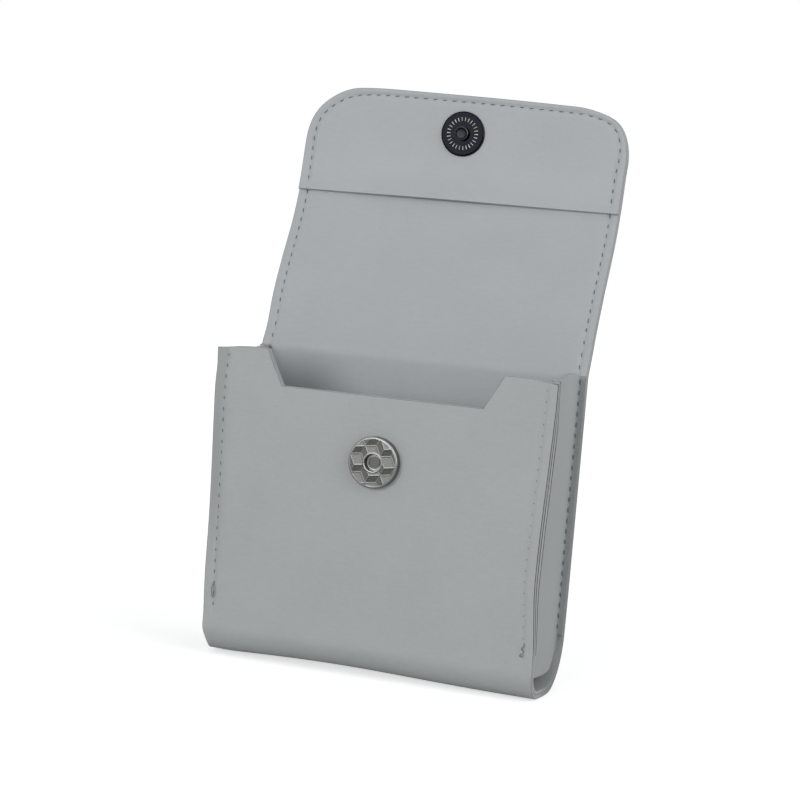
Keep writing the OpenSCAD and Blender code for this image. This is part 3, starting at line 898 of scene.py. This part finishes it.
def seam_tree():
    """Geometry nodes that lay one bowed stitch at every pitch along the seams."""
    tree = bpy.data.node_groups.new("seam", "GeometryNodeTree")
    for name, kind in (
        ("Seams", "Geometry"), ("Pitch", "Float"), ("Stitch Length", "Float"), ("Thread Width", "Float"),
        ("Slant", "Float"), ("Seed", "Int"), ("Thread", "Material"),
    ):
        tree.interface.new_socket(name, in_out="INPUT", socket_type="NodeSocket" + kind)
    tree.interface.new_socket("Stitches", in_out="OUTPUT", socket_type="NodeSocketGeometry")
    graph = Graph(tree)
    given = graph.node("NodeGroupInput")
    half = given["Stitch Length"] * 0.5
    width = given["Thread Width"]
    inputs = {
        "Resolution": 8, "Start": graph.vector(X=half * -1, Z=width * -0.75),
        "Middle": graph.vector(Z=width * 1.55), "End": graph.vector(X=half, Z=width * -0.75),
    }
    arch = graph.node("GeometryNodeCurveQuadraticBezier", None, inputs)["Curve"]
    inputs = {"Resolution": 7, "Radius": width * 0.5}
    ring = graph.node("GeometryNodeCurvePrimitiveCircle", None, inputs)["Curve"]
    inputs = {"Curve": arch, "Profile Curve": ring, "Fill Caps": True}
    stitch = graph.node("GeometryNodeCurveToMesh", None, inputs)["Mesh"]
    line = graph.node("GeometryNodeMeshToCurve", None, {"Mesh": given["Seams"]})["Curve"]
    inputs = {"Curve": line, "Length": given["Pitch"]}
    line = graph.node("GeometryNodeResampleCurve", {"mode": "LENGTH"}, inputs)["Curve"]
    settings = {"data_type": "FLOAT_VECTOR"}
    out = graph.node("GeometryNodeInputNamedAttribute", settings, {"Name": "out"})["Attribute"]
    along = graph.node("GeometryNodeInputTangent")["Tangent"]
    settings = {"primary_axis": "Z", "secondary_axis": "X"}
    inputs = {"Primary Axis": out, "Secondary Axis": along}
    turned = graph.node("FunctionNodeAxesToRotation", settings, inputs)["Rotation"]
    settings = {"data_type": "FLOAT"}
    loose = graph.node("FunctionNodeRandomValue", settings, {2: -0.07, 3: 0.07, "Seed": given["Seed"]})[1]
    slant = graph.vector(Z=loose + given["Slant"])
    slant = graph.node("FunctionNodeEulerToRotation", None, {"Euler": slant})["Rotation"]
    inputs = {"Rotation": turned, "Rotate By": slant}
    turned = graph.node("FunctionNodeRotateRotation", {"rotation_space": "LOCAL"}, inputs)["Rotation"]
    size = graph.node("FunctionNodeRandomValue", settings, {2: 0.86, 3: 1.06, "Seed": given["Seed"] + 1})[1]
    inputs = {
        "Points": line, "Instance": stitch, "Rotation": turned, "Scale": graph.vector(X=size, Y=1.0, Z=1.0)
    }
    stitches = graph.node("GeometryNodeInstanceOnPoints", None, inputs)["Instances"]
    stitches = graph.node("GeometryNodeRealizeInstances", None, {"Geometry": stitches})["Geometry"]
    stitches = graph.node("GeometryNodeSetShadeSmooth", None, {"Geometry": stitches})["Geometry"]
    inputs = {"Geometry": stitches, "Material": given["Thread"]}
    stitches = graph.node("GeometryNodeSetMaterial", None, inputs)["Geometry"]
    graph.node("NodeGroupOutput", None, {"Stitches": stitches})
    return tree


def sew(name, tree, rows, length):
    """Sews rows of points and outward normals into one plain mesh of stitches."""
    mesh = bpy.data.meshes.new(name)
    points = np.concatenate([row[0] for row in rows])
    first = np.cumsum([0] + [len(row[0]) for row in rows])
    links = [(i, i + 1) for a, b in zip(first[:-1], first[1:]) for i in range(a, b - 1)]
    mesh.from_pydata([tuple(p) for p in points], links, [])
    out = np.concatenate([row[1] for row in rows]).astype(np.float32)
    mesh.attributes.new("out", "FLOAT_VECTOR", "POINT").data.foreach_set("vector", out.ravel())
    seams = bpy.data.objects.new(name + "_seams", mesh)
    bpy.context.scene.collection.objects.link(seams)
    modifier = seams.modifiers.new("seam", "NODES")
    modifier.node_group = tree
    z = sizes()
    wanted = {
        "Pitch": z.pitch, "Stitch Length": length, "Thread Width": z.thread_w, "Slant": math.radians(5),
        "Seed": z.seed, "Thread": material_named("thread"),
    }
    for item in tree.interface.items_tree:
        if item.name in wanted:
            modifier[item.identifier] = wanted[item.name]
    evaluated = seams.evaluated_get(bpy.context.evaluated_depsgraph_get())
    plain = bpy.data.meshes.new_from_object(evaluated)
    plain.name = name
    seams.modifiers.clear()
    bpy.data.objects.remove(seams)
    piece = bpy.data.objects.new(name, plain)
    bpy.context.scene.collection.objects.link(piece)
    return piece


def seam_steps(start, end):
    """Places about a millimetre apart along a seam."""
    return np.linspace(start, end, max(2, int(abs(end - start) / MM)))


def curve_through(points, between):
    """A smooth line through the points, with so many steps between each two."""
    control = np.concatenate([2 * points[:1] - points[1:2], points, 2 * points[-1:] - points[-2:-1]])
    t = steps(0, between, 1)[:-1, None]
    line = [
        0.5 * (2 * b + (c - a) * t + (2 * a - 5 * b + 4 * c - d) * t ** 2 + (3 * b - a - 3 * c + d) * t ** 3)
        for a, b, c, d in zip(control[:-3], control[1:-2], control[2:-1], control[3:])
    ]
    return np.concatenate(line + [points[-1:]])


def tube(name, points, radius, material):
    """A round thread through the given points, with closed ends."""
    line = curve_through(points, 6)
    along = np.gradient(line, axis=0)
    along /= np.linalg.norm(along, axis=1, keepdims=True)
    aside = np.cross(along, (0.0, 1.0, 0.02))
    aside /= np.linalg.norm(aside, axis=1, keepdims=True)
    up = np.cross(along, aside)
    sides = 8
    turn = np.arange(sides) * 2 * math.pi / sides
    ring = np.cos(turn)[None, :, None] * aside[:, None] + np.sin(turn)[None, :, None] * up[:, None]
    verts = (line[:, None] + radius * ring).reshape(-1, 3)
    faces = [
        (i * sides + j, i * sides + (j + 1) % sides, (i + 1) * sides + (j + 1) % sides, (i + 1) * sides + j)
        for i in range(len(line) - 1) for j in range(sides)
    ]
    faces.append(tuple(range(sides)))
    faces.append(tuple(range(len(verts) - sides, len(verts))))
    return finish_mesh(new_object(name, verts, faces, material), 60)


def turned_piece(name, profile, place, material, segments, pattern=None):
    """Turns a profile of radius and height round its own axis into a closed piece.

    The pattern gives a height and a tone, which holds painted light and shade, for each point of the
    profile's top."""
    profile = np.array(profile) * MM
    turn = np.arange(segments) * 2 * math.pi / segments
    r, h = profile[:, 0][:, None], np.repeat(profile[:, 1][:, None], segments, 1)
    x, y = r * np.cos(turn), r * np.sin(turn)
    tone = np.full(x.shape, 0.5)
    if pattern:
        rise, tone = pattern(x / MM, y / MM, h / MM)
        h = h + rise * MM
    verts = place(x.ravel(), y.ravel(), h.ravel())
    closed = profile[0, 0] > 0
    rings = len(profile)
    i, j = np.meshgrid(np.arange(rings if closed else rings - 1), np.arange(segments), indexing="ij")
    after, beside = (i + 1) % rings, (j + 1) % segments
    faces = np.stack([
        i * segments + j, i * segments + beside, after * segments + beside, after * segments + j
    ], -1).reshape(-1, 4)
    piece = new_object(name, verts, faces, material)
    piece.data.attributes.new("tone", "FLOAT", "POINT").data.foreach_set(
        "value", tone.astype(np.float32).ravel()
    )
    work = bmesh.new()
    work.from_mesh(piece.data)
    bmesh.ops.remove_doubles(work, verts=work.verts, dist=0.0005 * MM)
    work.to_mesh(piece.data)
    work.free()
    return finish_mesh(piece, 50)


def arc_profile(centre_r, centre_h, r, start, end, count):
    """Points of a rounded corner in a turned profile, with angles in degrees."""
    turn = np.radians(steps(start, count, end))
    return [(centre_r + r * math.cos(a), centre_h + r * math.sin(a)) for a in turn]


# The three edges that meet in the middle of a pressed block, and one such middle, in mm from the cap's
BLOCK_ARMS = np.array([(3.1, 0.45), (-1.0, -2.05), (-1.35, 2.9)])
BLOCK_CORNER = (3.0, 3.85)


def tumbling_blocks(x, y):
    """Which of the three faces of a block a point lies on, where on it, and how far from its edges."""
    up, over = BLOCK_ARMS[2] - BLOCK_ARMS[1], BLOCK_ARMS[0] - BLOCK_ARMS[1]
    base = np.linalg.inv(np.array([up, over]).T)
    dx, dy = x - BLOCK_CORNER[0], y - BLOCK_CORNER[1]
    a = np.floor(base[0, 0] * dx + base[0, 1] * dy)
    b = np.floor(base[1, 0] * dx + base[1, 1] * dy)
    face = np.full(x.shape, -1)
    drop = np.zeros(x.shape)
    margin = np.zeros(x.shape)
    neighbours = [(da, db) for da in (-1, 0, 1, 2) for db in (-1, 0, 1, 2)]
    for da, db in neighbours:
        px = dx - (a + da) * up[0] - (b + db) * over[0]
        py = dy - (a + da) * up[1] - (b + db) * over[1]
        for number in range(3):
            pair = BLOCK_ARMS[[number, (number + 1) % 3]].T
            solve = np.linalg.inv(pair)
            u = solve[0, 0] * px + solve[0, 1] * py
            v = solve[1, 0] * px + solve[1, 1] * py
            inside = (u >= 0) & (u < 1) & (v >= 0) & (v < 1)
            area = abs(np.linalg.det(pair))
            long_u, long_v = np.linalg.norm(pair, axis=0)
            gap = np.minimum(np.minimum(v, 1 - v) * area / long_u, np.minimum(u, 1 - u) * area / long_v)
            face = np.where(inside, number, face)
            drop = np.where(inside, u + v, drop)
            margin = np.where(inside, gap, margin)
    return face, drop, margin


def socket_pattern(x, y, h):
    """Pressed blocks on the cap of the front snap, between its rim and the lip of its hole, with painted
    light and shade in their tones.
    """
    r = np.hypot(x, y)
    lip_r, field_r, field_h = 2.8, 6.45, 2.3
    face, drop, margin = tumbling_blocks(x, y)
    field = smooth((field_r - r) / 0.12) * smooth((r - lip_r) / 0.12) * (h > field_h)
    ridge = near(margin, 0, 0.11)
    # The blocks' three faces and their ridges get their own tones: partly the pressed finish, partly painted
    # shade and light of the faces' tilts, and painted highlights on the ridges.
    tones = np.array([0.09, 0.13, 0.20])[face]
    streaks = 0.02 * np.sin(9 * y + 2 * np.sin(3 * x))
    tone = tones + streaks + (0.26 - tones) * ridge
    rise = field * (0.07 * (0.5 - 0.5 * drop) + 0.035 * ridge - 0.02)
    # Outside the field the cap's top gets a light tone and its walls a darker one: painted light and painted
    # shade.
    return rise, field * tone + (1 - field) * np.where(h > 2.2, 0.5, 0.3)


def stud_pattern(x, y, h):
    """A plain ring of raised ticks round the flap snap's dark plate; the ticks' lighter tone is a painted
    glint, and the plate's outer edge gets a painted highlight.
    """
    r = np.hypot(x, y)
    ticks, ring_low, ring_high = 26, 3.5, 4.8
    tick = smooth((np.cos(ticks * np.arctan2(y, x)) - 0.45) / 0.3)
    band = smooth((r - ring_low) / 0.15) * smooth((ring_high - r) / 0.15)
    mark = tick * band * (h > 0.7)
    # Painted glints on the ticks and a painted highlight along the plate's outer edge.
    return 0.04 * mark, 0.17 * mark + 0.04 * smooth((r - 6.2) / 0.2)


def painted_stud_highlight(x, y, h):
    """A painted highlight round the edge of the stud's head, which is otherwise near black."""
    r = np.hypot(x, y)
    return 0 * r, 0.01 + 0.16 * smooth((r - 1.78) / 0.12) * (h > 1.7)


def bend_at_hinge(piece):
    """Bakes the piece's place into its points; nothing blends it round the hinge line."""
    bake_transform(piece)


def bend_at_fold(piece):
    """Bakes the piece's place into its points; nothing blends it round the fold line."""
    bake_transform(piece)


class CASE_OT_body(bpy.types.Operator):
    """Outer leather and lining from the front panel round the base and up past the hinge"""

    bl_idname = "case.body"
    bl_label = "Leather Body"

    def execute(self, context):
        sheet = Sheet()
        z = sizes()
        plan = consistent(body_plan(sheet))
        painted_shades = self.painted_shades(sheet)
        outer = leather_piece(
            "leather_body", plan, sheet.place, 0, z.outer_t, material_named("leather"), sheet.is_split, painted_shades
        )
        lining = leather_piece(
            "lining_body", plan, self.dimpled(sheet), z.outer_t, sheet.shell_t, material_named("lining"),
            sheet.is_split, painted_shades
        )
        for piece, slot, nodes in (
            (outer, "leather", ("outer_shell", "span_outer")),
            (lining, "lining", ("pocket_lining", "span_lining")),
        ):
            bend_at_hinge(piece)
            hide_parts(*nodes)
        return {"FINISHED"}

    @staticmethod
    def painted_shades(sheet):
        """Painted shade on the cut edges under and behind, in the gaps beside the front and on the band
        beside its left seam.
        """

        def shares(plan):
            x, s = plan.T
            # Painted shade on the cut edges of the base and the back, which turn away from the light.
            painted_edge_shade = smooth((s - sheet.base_start) / (12 * MM)) * smooth((sheet.hinge_s - s) / (14 * MM))
            # Painted shade in the gaps between the front panel's sides and the gussets.
            gap = smooth((np.abs(x) - 46.5 * MM) / MM) * smooth((sheet.front_end - 2 * MM - s) / (8 * MM))
            # Painted shade on the band outside the front's left seam.
            painted_band_shade = smooth((-45.3 * MM - x) / (0.6 * MM)) * smooth((66 * MM - s) / (34 * MM))
            return painted_edge_shade, gap, 0.8 * painted_band_shade

        return shares

    @staticmethod
    def dimpled(sheet):
        """The lining's own place: it rises over the washer behind the front snap."""
        washer_r, washer_rise, slope = 7.2 * MM, 0.85 * MM, 1.7 * MM

        def place(x, s, depth, side=0, edge=None):
            from_snap = np.hypot(x, s - (sizes().front_h - SNAP.z))
            rise = washer_rise * smooth((washer_r - from_snap) / slope)
            return sheet.place(x, s, depth + rise, side, edge)

        return place


class CASE_OT_flap(bpy.types.Operator):
    """Outer leather, lining and facing of the flap beyond the hinge"""

    bl_idname = "case.flap"
    bl_label = "Leather Flap"

    def execute(self, context):
        sheet = Sheet()
        z = sizes()
        plan = consistent(tongue_plan(sheet, steps(sheet.split_s, 44, sheet.corner_s)))
        tongue = self.rounded(sheet)
        outer = leather_piece(
            "leather_flap", plan, tongue, 0, z.outer_t, material_named("leather"), sheet.is_split
        )
        lining = leather_piece(
            "lining_flap", plan, tongue, z.outer_t, sheet.shell_t, material_named("lining"), sheet.is_split
        )
        for piece, slot, node in ((outer, "leather", "tip_outer"), (lining, "lining", "tip_lining")):
            bend_at_fold(piece)
            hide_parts(node)
        low = sheet.facing_s
        sides = steps(low, 2, low + 0.7 * MM, 3, low + 2.2 * MM, 16, sheet.corner_s)
        facing = leather_piece(
            "facing", consistent(tongue_plan(sheet, sides)), self.lifted(sheet),
            sheet.shell_t, sheet.shell_t + z.facing_t, material_named("lining")
        )
        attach(facing, "flap_tip")
        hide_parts("tip_facing")
        return {"FINISHED"}

    @staticmethod
    def rounded(sheet):
        """Place of the flap, whose seam follows its rounded outline but not the facing's lower edge."""

        def place(x, s, depth, side=0, edge=None):
            on_edge = near(edge, sheet.tongue_inset(s), 0.5 * MM) * smooth((s - sheet.facing_s) / MM + 1)
            beside = smooth((np.abs(x) - 41 * MM) / (3 * MM))
            on_edge = on_edge * np.maximum(beside, smooth((s - sheet.facing_s) / (4 * MM) - 1.5))
            dip = sizes().seam_dip * np.minimum(on_edge, 1) * side
            return sheet.place(x, s, depth + dip, side)

        return place

    def lifted(self, sheet):
        """Place of the facing, whose free lower edge stands off a little in the middle."""
        rounded = self.rounded(sheet)

        def place(x, s, depth, side=0, edge=None):
            free = smooth(1 - (s - sheet.facing_s) / (9 * MM)) * near(x, -6 * MM, 25 * MM)
            sewn = smooth((np.abs(x) - 38 * MM) / (7 * MM))
            return rounded(x, s, depth + 0.75 * MM * free * (1 - sewn), side, edge)

        return place


class CASE_OT_gussets(bpy.types.Operator):
    """Two folded side gussets with their front and back flanges"""

    bl_idname = "case.gussets"
    bl_label = "Gussets"

    def execute(self, context):
        path = gusset_path()
        half = sizes().gusset_t / 2
        plan = consistent(gusset_plan(path))

        # Painted shade on the back flange's cut edge and in the gap along the front flange's edge; no band
        # shade.
        def painted_shades(plan):
            painted_edge_shade = smooth((plan[:, 0] - path.length) / MM + 2)
            return painted_edge_shade, smooth(1 - plan[:, 0] / MM), 0 * painted_edge_shade

        for name, sign in (("gusset_right", 1), ("gusset_left", -1)):
            piece = leather_piece(
                name + "_leather", plan, gusset_place(path, sign), -half, half, material_named("leather"),
                painted_shades=painted_shades
            )
            bend_at_hinge(piece)
            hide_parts(name)
        return {"FINISHED"}


# Courses of the slack threads, in mm: across from their seam, along the sheet and off its face
THREAD_LOOP = [
    (0.05, 65.9, 0.1), (0.4, 66.8, 0.5), (0.45, 68.2, 0.6), (0.05, 69.6, 0.3), (-0.3, 69.0, 0.35),
    (-0.42, 67.8, 0.5), (-0.25, 66.6, 0.45), (0.0, 65.8, 0.15),
]
THREAD_END = [
    (0.3, 69.6, -0.2), (0.35, 70.5, 0.25), (-0.25, 71.2, 0.35), (0.35, 71.9, 0.4), (-0.15, 72.6, 0.35),
    (-0.75, 73.1, 0.2), (-0.2, 73.4, 0.3), (0.3, 72.9, 0.25),
]


class CASE_OT_stitches(bpy.types.Operator):
    """Rows of stitches round the pouch and the flap, and the thread's tied ends"""

    bl_idname = "case.stitches"
    bl_label = "Stitches"

    def execute(self, context):
        sheet = Sheet()
        tree = seam_tree()
        length = sizes().stitch
        rows = [self.front_row(sheet, sign, sunk * MM) for sign, sunk in ((-1, 0.03), (1, 0.17))]
        front = sew("stitches_front", tree, rows, sizes().front_stitch)
        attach(front, "pouch")
        back = [row for sign in (-1, 1) for row in self.back_rows(sheet, sign)]
        back = sew("stitches_back", tree, back, length)
        bend_at_hinge(back)
        flap = sew("stitches_flap", tree, list(self.flap_rows(sheet)), length)
        bend_at_fold(flap)
        for name, sign, turns in (("thread_loop", -1, THREAD_LOOP), ("thread_end", 1, THREAD_END)):
            self.loose_thread(sheet, name, sign, turns)
        return {"FINISHED"}

    @staticmethod
    def front_row(sheet, sign, sunk):
        """Row on the front panel, sunk into the leather by the given depth."""
        s = seam_steps(2.2 * MM, sheet.front_end - 6.5 * MM)
        x = np.full(len(s), sign * (sheet.side_x - sizes().front_seam))
        return sheet.place(x, s, sunk, 1), sheet.normal(s, 1)

    @staticmethod
    def back_rows(sheet, sign):
        """Rows on the back panel's outside, inside the span and on the gusset's flange."""
        end = sheet.split_s - sizes().pitch / 2
        for start, depth, side in (
            (sheet.back_start + 2 * MM, 0, 1), (sheet.hinge_s + 2.5 * MM, sheet.shell_t, -1)
        ):
            s = seam_steps(start, end)
            x = sign * (sheet.side_x - sheet.back_inset(s))
            yield sheet.place(x, s, depth, side), sheet.normal(s, side)
        path = gusset_path()
        height = seam_steps(17 * MM, sizes().front_h - 1.6 * MM)
        q = np.full(len(height), path.length - 1.65 * MM)
        points = gusset_place(path, sign)(q, height, -sizes().gusset_t / 2)
        yield points, np.tile((0.0, -1.0, 0.0), (len(height), 1))

    @staticmethod
    def flap_rows(sheet):
        """Rows round the flap's outside, round its facing and up its lining."""
        z = sizes()
        first = sheet.split_s + z.pitch / 2
        rounded = CASE_OT_flap.rounded(sheet)
        for start, depth, side in (
            (first, 0, 1), (sheet.facing_s + 0.8 * MM, sheet.shell_t + z.facing_t, -1)
        ):
            border, normal = tongue_border(sheet, seam_steps(start, sheet.corner_s), 16, 60)
            inset = sheet.tongue_inset(border[:, 1])
            x, s = (border - inset[:, None] * normal).T
            yield rounded(x, s, depth, side, inset), sheet.normal(s, side)
        s = seam_steps(first, sheet.facing_s - 0.6 * MM)
        inset = sheet.back_inset(s)
        for sign in (-1, 1):
            x = sign * (sheet.side_x - inset)
            yield rounded(x, s, sheet.shell_t, -1, inset), sheet.normal(s, -1)

    @staticmethod
    def loose_thread(sheet, name, sign, turns):
        """A slack end of thread low on a front row."""
        across, s, lift = np.array(turns).T * MM
        x = sign * (sheet.side_x - sizes().front_seam) + across
        thread = tube(name, sheet.place(x, s, -lift), 0.09 * MM, material_named("thread"))
        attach(thread, "pouch")


class CASE_OT_front_snap(bpy.types.Operator):
    """The front snap: pressed cap, and finishes of the rivet and of what is clenched inside"""

    bl_idname = "case.front_snap"
    bl_label = "Front Snap"

    def execute(self, context):
        cap_r, wall, hole_r, lip_r, face_h, seat_h = 7.0, 0.35, 2.2, 2.86, 2.47, 1.34
        profile = [(cap_r, 0.02), (cap_r, 1.8)] + arc_profile(cap_r - 0.5, 1.95, 0.5, 0, 78, 9)
        profile += [(6.55, 2.45), (6.5, 2.41), (6.46, 2.41)]
        profile += [(r, face_h) for r in steps(6.4, 56, lip_r)]
        profile += arc_profile(lip_r - 0.3, 2.34, 0.3, 75, 170, 7)
        profile += [(hole_r + 0.02, 2.1), (hole_r, seat_h), (2.7, seat_h), (2.72, face_h - wall)]
        profile += [(6.2, face_h - wall), (6.6, 1.8), (cap_r - wall, 0.02)]

        def place(x, y, h):
            return np.stack([x + SNAP.x, SNAP.y - h, y + SNAP.z], -1)

        cap = turned_piece("snap_cap", profile, place, material_named("pressed_nickel"), 240, socket_pattern)
        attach(cap, "pouch")
        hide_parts("socket_cap")
        for node, finish in (
            ("socket_rivet", "rivet"), ("socket_magnet", "magnet"), ("socket_plate", "steel"),
            ("socket_prongs", "steel"), ("socket_washer", "steel"),
        ):
            frame["nodes"][node].material_slots[0].material = material_named(finish)
        return {"FINISHED"}


class CASE_OT_flap_snap(bpy.types.Operator):
    """The flap snap: dark disc with a ring of ticks, stud, and finishes of what is clenched inside"""

    bl_idname = "case.flap_snap"
    bl_label = "Flap Snap"

    def execute(self, context):
        disc_h, disc_r = 0.8, (DISC_HIGH.x - DISC_LOW.x) / 2 / MM
        out = Vector((0, -math.cos(TIP_LEAN), math.sin(TIP_LEAN)))
        up = Vector((0, math.sin(TIP_LEAN), math.cos(TIP_LEAN)))
        foot = STUD - disc_h / 2 * MM * out

        def place(x, y, h):
            across = np.outer(x, (1.0, 0.0, 0.0))
            return np.array(foot) + across + np.outer(y, up) + np.outer(h, out)

        finish = material_named("pressed_dark_nickel")
        hole_r, wall = 0.97, 0.35
        profile = [(disc_r, 0.02), (disc_r, 0.3)] + arc_profile(disc_r - 0.5, 0.3, 0.5, 10, 90, 7)
        profile += [(r, disc_h) for r in steps(disc_r - 0.6, 52, 2.2)]
        profile += [(hole_r, disc_h), (hole_r, disc_h - wall), (disc_r - 0.6, disc_h - wall)]
        profile += [(disc_r - wall - 0.02, 0.25), (disc_r - wall, 0.02)]
        disc = turned_piece("snap_disc", profile, place, finish, 240, stud_pattern)
        top, stud_r, shank_r = 2.1, 2.05, 0.9
        profile = [(0, 0.02), (shank_r, 0.02), (shank_r, 0.82), (stud_r - 0.12, 0.82)]
        profile += [(stud_r, 0.95), (stud_r, 1.1), (stud_r - 0.06, 1.25)]
        profile += arc_profile(stud_r - 0.32, top - 0.3, 0.3, 0, 100, 7)
        profile += [(stud_r - 0.55, top - 0.1), (stud_r - 0.8, top - 0.14), (0, top - 0.15)]
        stud = turned_piece("snap_stud", profile, place, finish, 96, painted_stud_highlight)
        for piece, node in ((disc, "stud_disc"), (stud, "stud_post")):
            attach(piece, "flap_tip")
            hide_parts(node)
        for node in ("stud_prongs", "stud_washer"):
            frame["nodes"][node].material_slots[0].material = material_named("steel")
        return {"FINISHED"}


class CASE_OT_studio(bpy.types.Operator):
    """Pale floor, soft light and the camera at the photograph's angle"""

    bl_idname = "case.studio"
    bl_label = "Studio"

    def execute(self, context):
        self.floor()
        self.world(context.scene)
        self.lamps(context.scene)
        self.camera(context.scene)
        context.scene.view_settings.view_transform = "Standard"
        return {"FINISHED"}

    @staticmethod
    def floor():
        """A floor that keeps the case's shadow and glows up to the background's colour for the camera."""
        half = 6.0
        corners = [(-half, -half, 0), (half, -half, 0), (half, half, 0), (-half, half, 0)]
        material = bpy.data.materials.new("floor")
        graph = Graph(empty_tree(material))
        page = linear(colours().page)
        seen = graph.node("ShaderNodeLightPath")["Is Camera Ray"]
        shade = graph.node("ShaderNodeBsdfDiffuse", None, {"Color": shaded(page, 0.75)})["BSDF"]
        glow = graph.node("ShaderNodeEmission", None, {"Color": page, "Strength": seen * 0.62})["Emission"]
        both = graph.node("ShaderNodeAddShader", None, {0: shade, 1: glow})["Shader"]
        graph.node("ShaderNodeOutputMaterial", None, {"Surface": both})
        new_object("floor", corners, [(0, 1, 2, 3)], material)

    @staticmethod
    def world(scene):
        """Even light from all round, and the background's colour where the sky itself is seen."""
        scene.world = bpy.data.worlds.new("studio")
        graph = Graph(empty_tree(scene.world))
        rays = graph.node("ShaderNodeLightPath")
        seen = rays["Is Camera Ray"] | rays["Is Glossy Ray"] | rays["Is Transmission Ray"]
        inputs = {"Color": (0.97, 0.985, 1.0, 1.0), "Strength": 0.4}
        light = graph.node("ShaderNodeBackground", None, inputs)["Background"]
        inputs = {"Color": linear(colours().page), "Strength": 1.0}
        page = graph.node("ShaderNodeBackground", None, inputs)["Background"]
        mixed = graph.node("ShaderNodeMixShader", None, {0: seen, 1: light, 2: page})["Shader"]
        graph.node("ShaderNodeOutputWorld", None, {"Surface": mixed})

    @staticmethod
    def lamps(scene):
        """Two wide suns: the key on the front and the fill on the right side."""
        for name, angles, power, width in (
            ("key", (78, 0, -14), 1.26, 30),
            ("fill", (65, 0, 75), 1.1, 60),
        ):
            data = bpy.data.lights.new(name, "SUN")
            data.energy = power
            data.angle = math.radians(width)
            lamp = bpy.data.objects.new(name, data)
            lamp.rotation_euler = [math.radians(a) for a in angles]
            scene.collection.objects.link(lamp)

    @staticmethod
    def camera(scene):
        """The camera where the photograph was taken from, with its heading, dip and tilt."""
        place = Vector((0.19167, -0.56821, 0.12116))
        yaw, pitch, roll = (math.radians(a) for a in (18.54, 4.36, -5.02))
        ahead = Vector((-math.sin(yaw), math.cos(yaw), 0))
        forward = math.cos(pitch) * ahead - math.sin(pitch) * Vector((0, 0, 1))
        right = Vector((math.cos(yaw), math.sin(yaw), 0))
        down = forward.cross(right)
        level = math.cos(roll) * right + math.sin(roll) * down
        down = math.cos(roll) * down - math.sin(roll) * right
        data = bpy.data.cameras.new("camera")
        data.lens = 99
        data.sensor_width = 36
        data.clip_start = 0.01
        camera = bpy.data.objects.new("camera", data)
        turned = Matrix((level, -down, -forward)).transposed().to_4x4()
        camera.matrix_world = Matrix.Translation(place) @ turned
        scene.collection.objects.link(camera)
        scene.camera = camera


class CASE_PT_panel(bpy.types.Panel):
    """One button for each group of the case's pieces"""

    bl_label = "Flap Case"
    bl_space_type = "VIEW_3D"
    bl_region_type = "UI"
    bl_category = "Flap Case"

    def draw(self, context):
        for operator in OPERATORS:
            self.layout.operator(operator.bl_idname)


OPERATORS = (
    CASE_OT_body, CASE_OT_flap, CASE_OT_gussets, CASE_OT_stitches, CASE_OT_front_snap, CASE_OT_flap_snap,
    CASE_OT_studio,
)
CLASSES = (CaseSizes, CaseColours, *OPERATORS, CASE_PT_panel)


def register():
    for item in CLASSES:
        bpy.utils.register_class(item)
    bpy.types.Scene.case_sizes = PointerProperty(type=CaseSizes)
    bpy.types.Scene.case_colours = PointerProperty(type=CaseColours)


def unregister():
    del bpy.types.Scene.case_colours
    del bpy.types.Scene.case_sizes
    for item in reversed(CLASSES):
        bpy.utils.unregister_class(item)


def main():
    register()
    for operator in OPERATORS:
        group, name = operator.bl_idname.split(".")
        getattr(getattr(bpy.ops, group), name)()


if __name__ == "__main__":
    main()
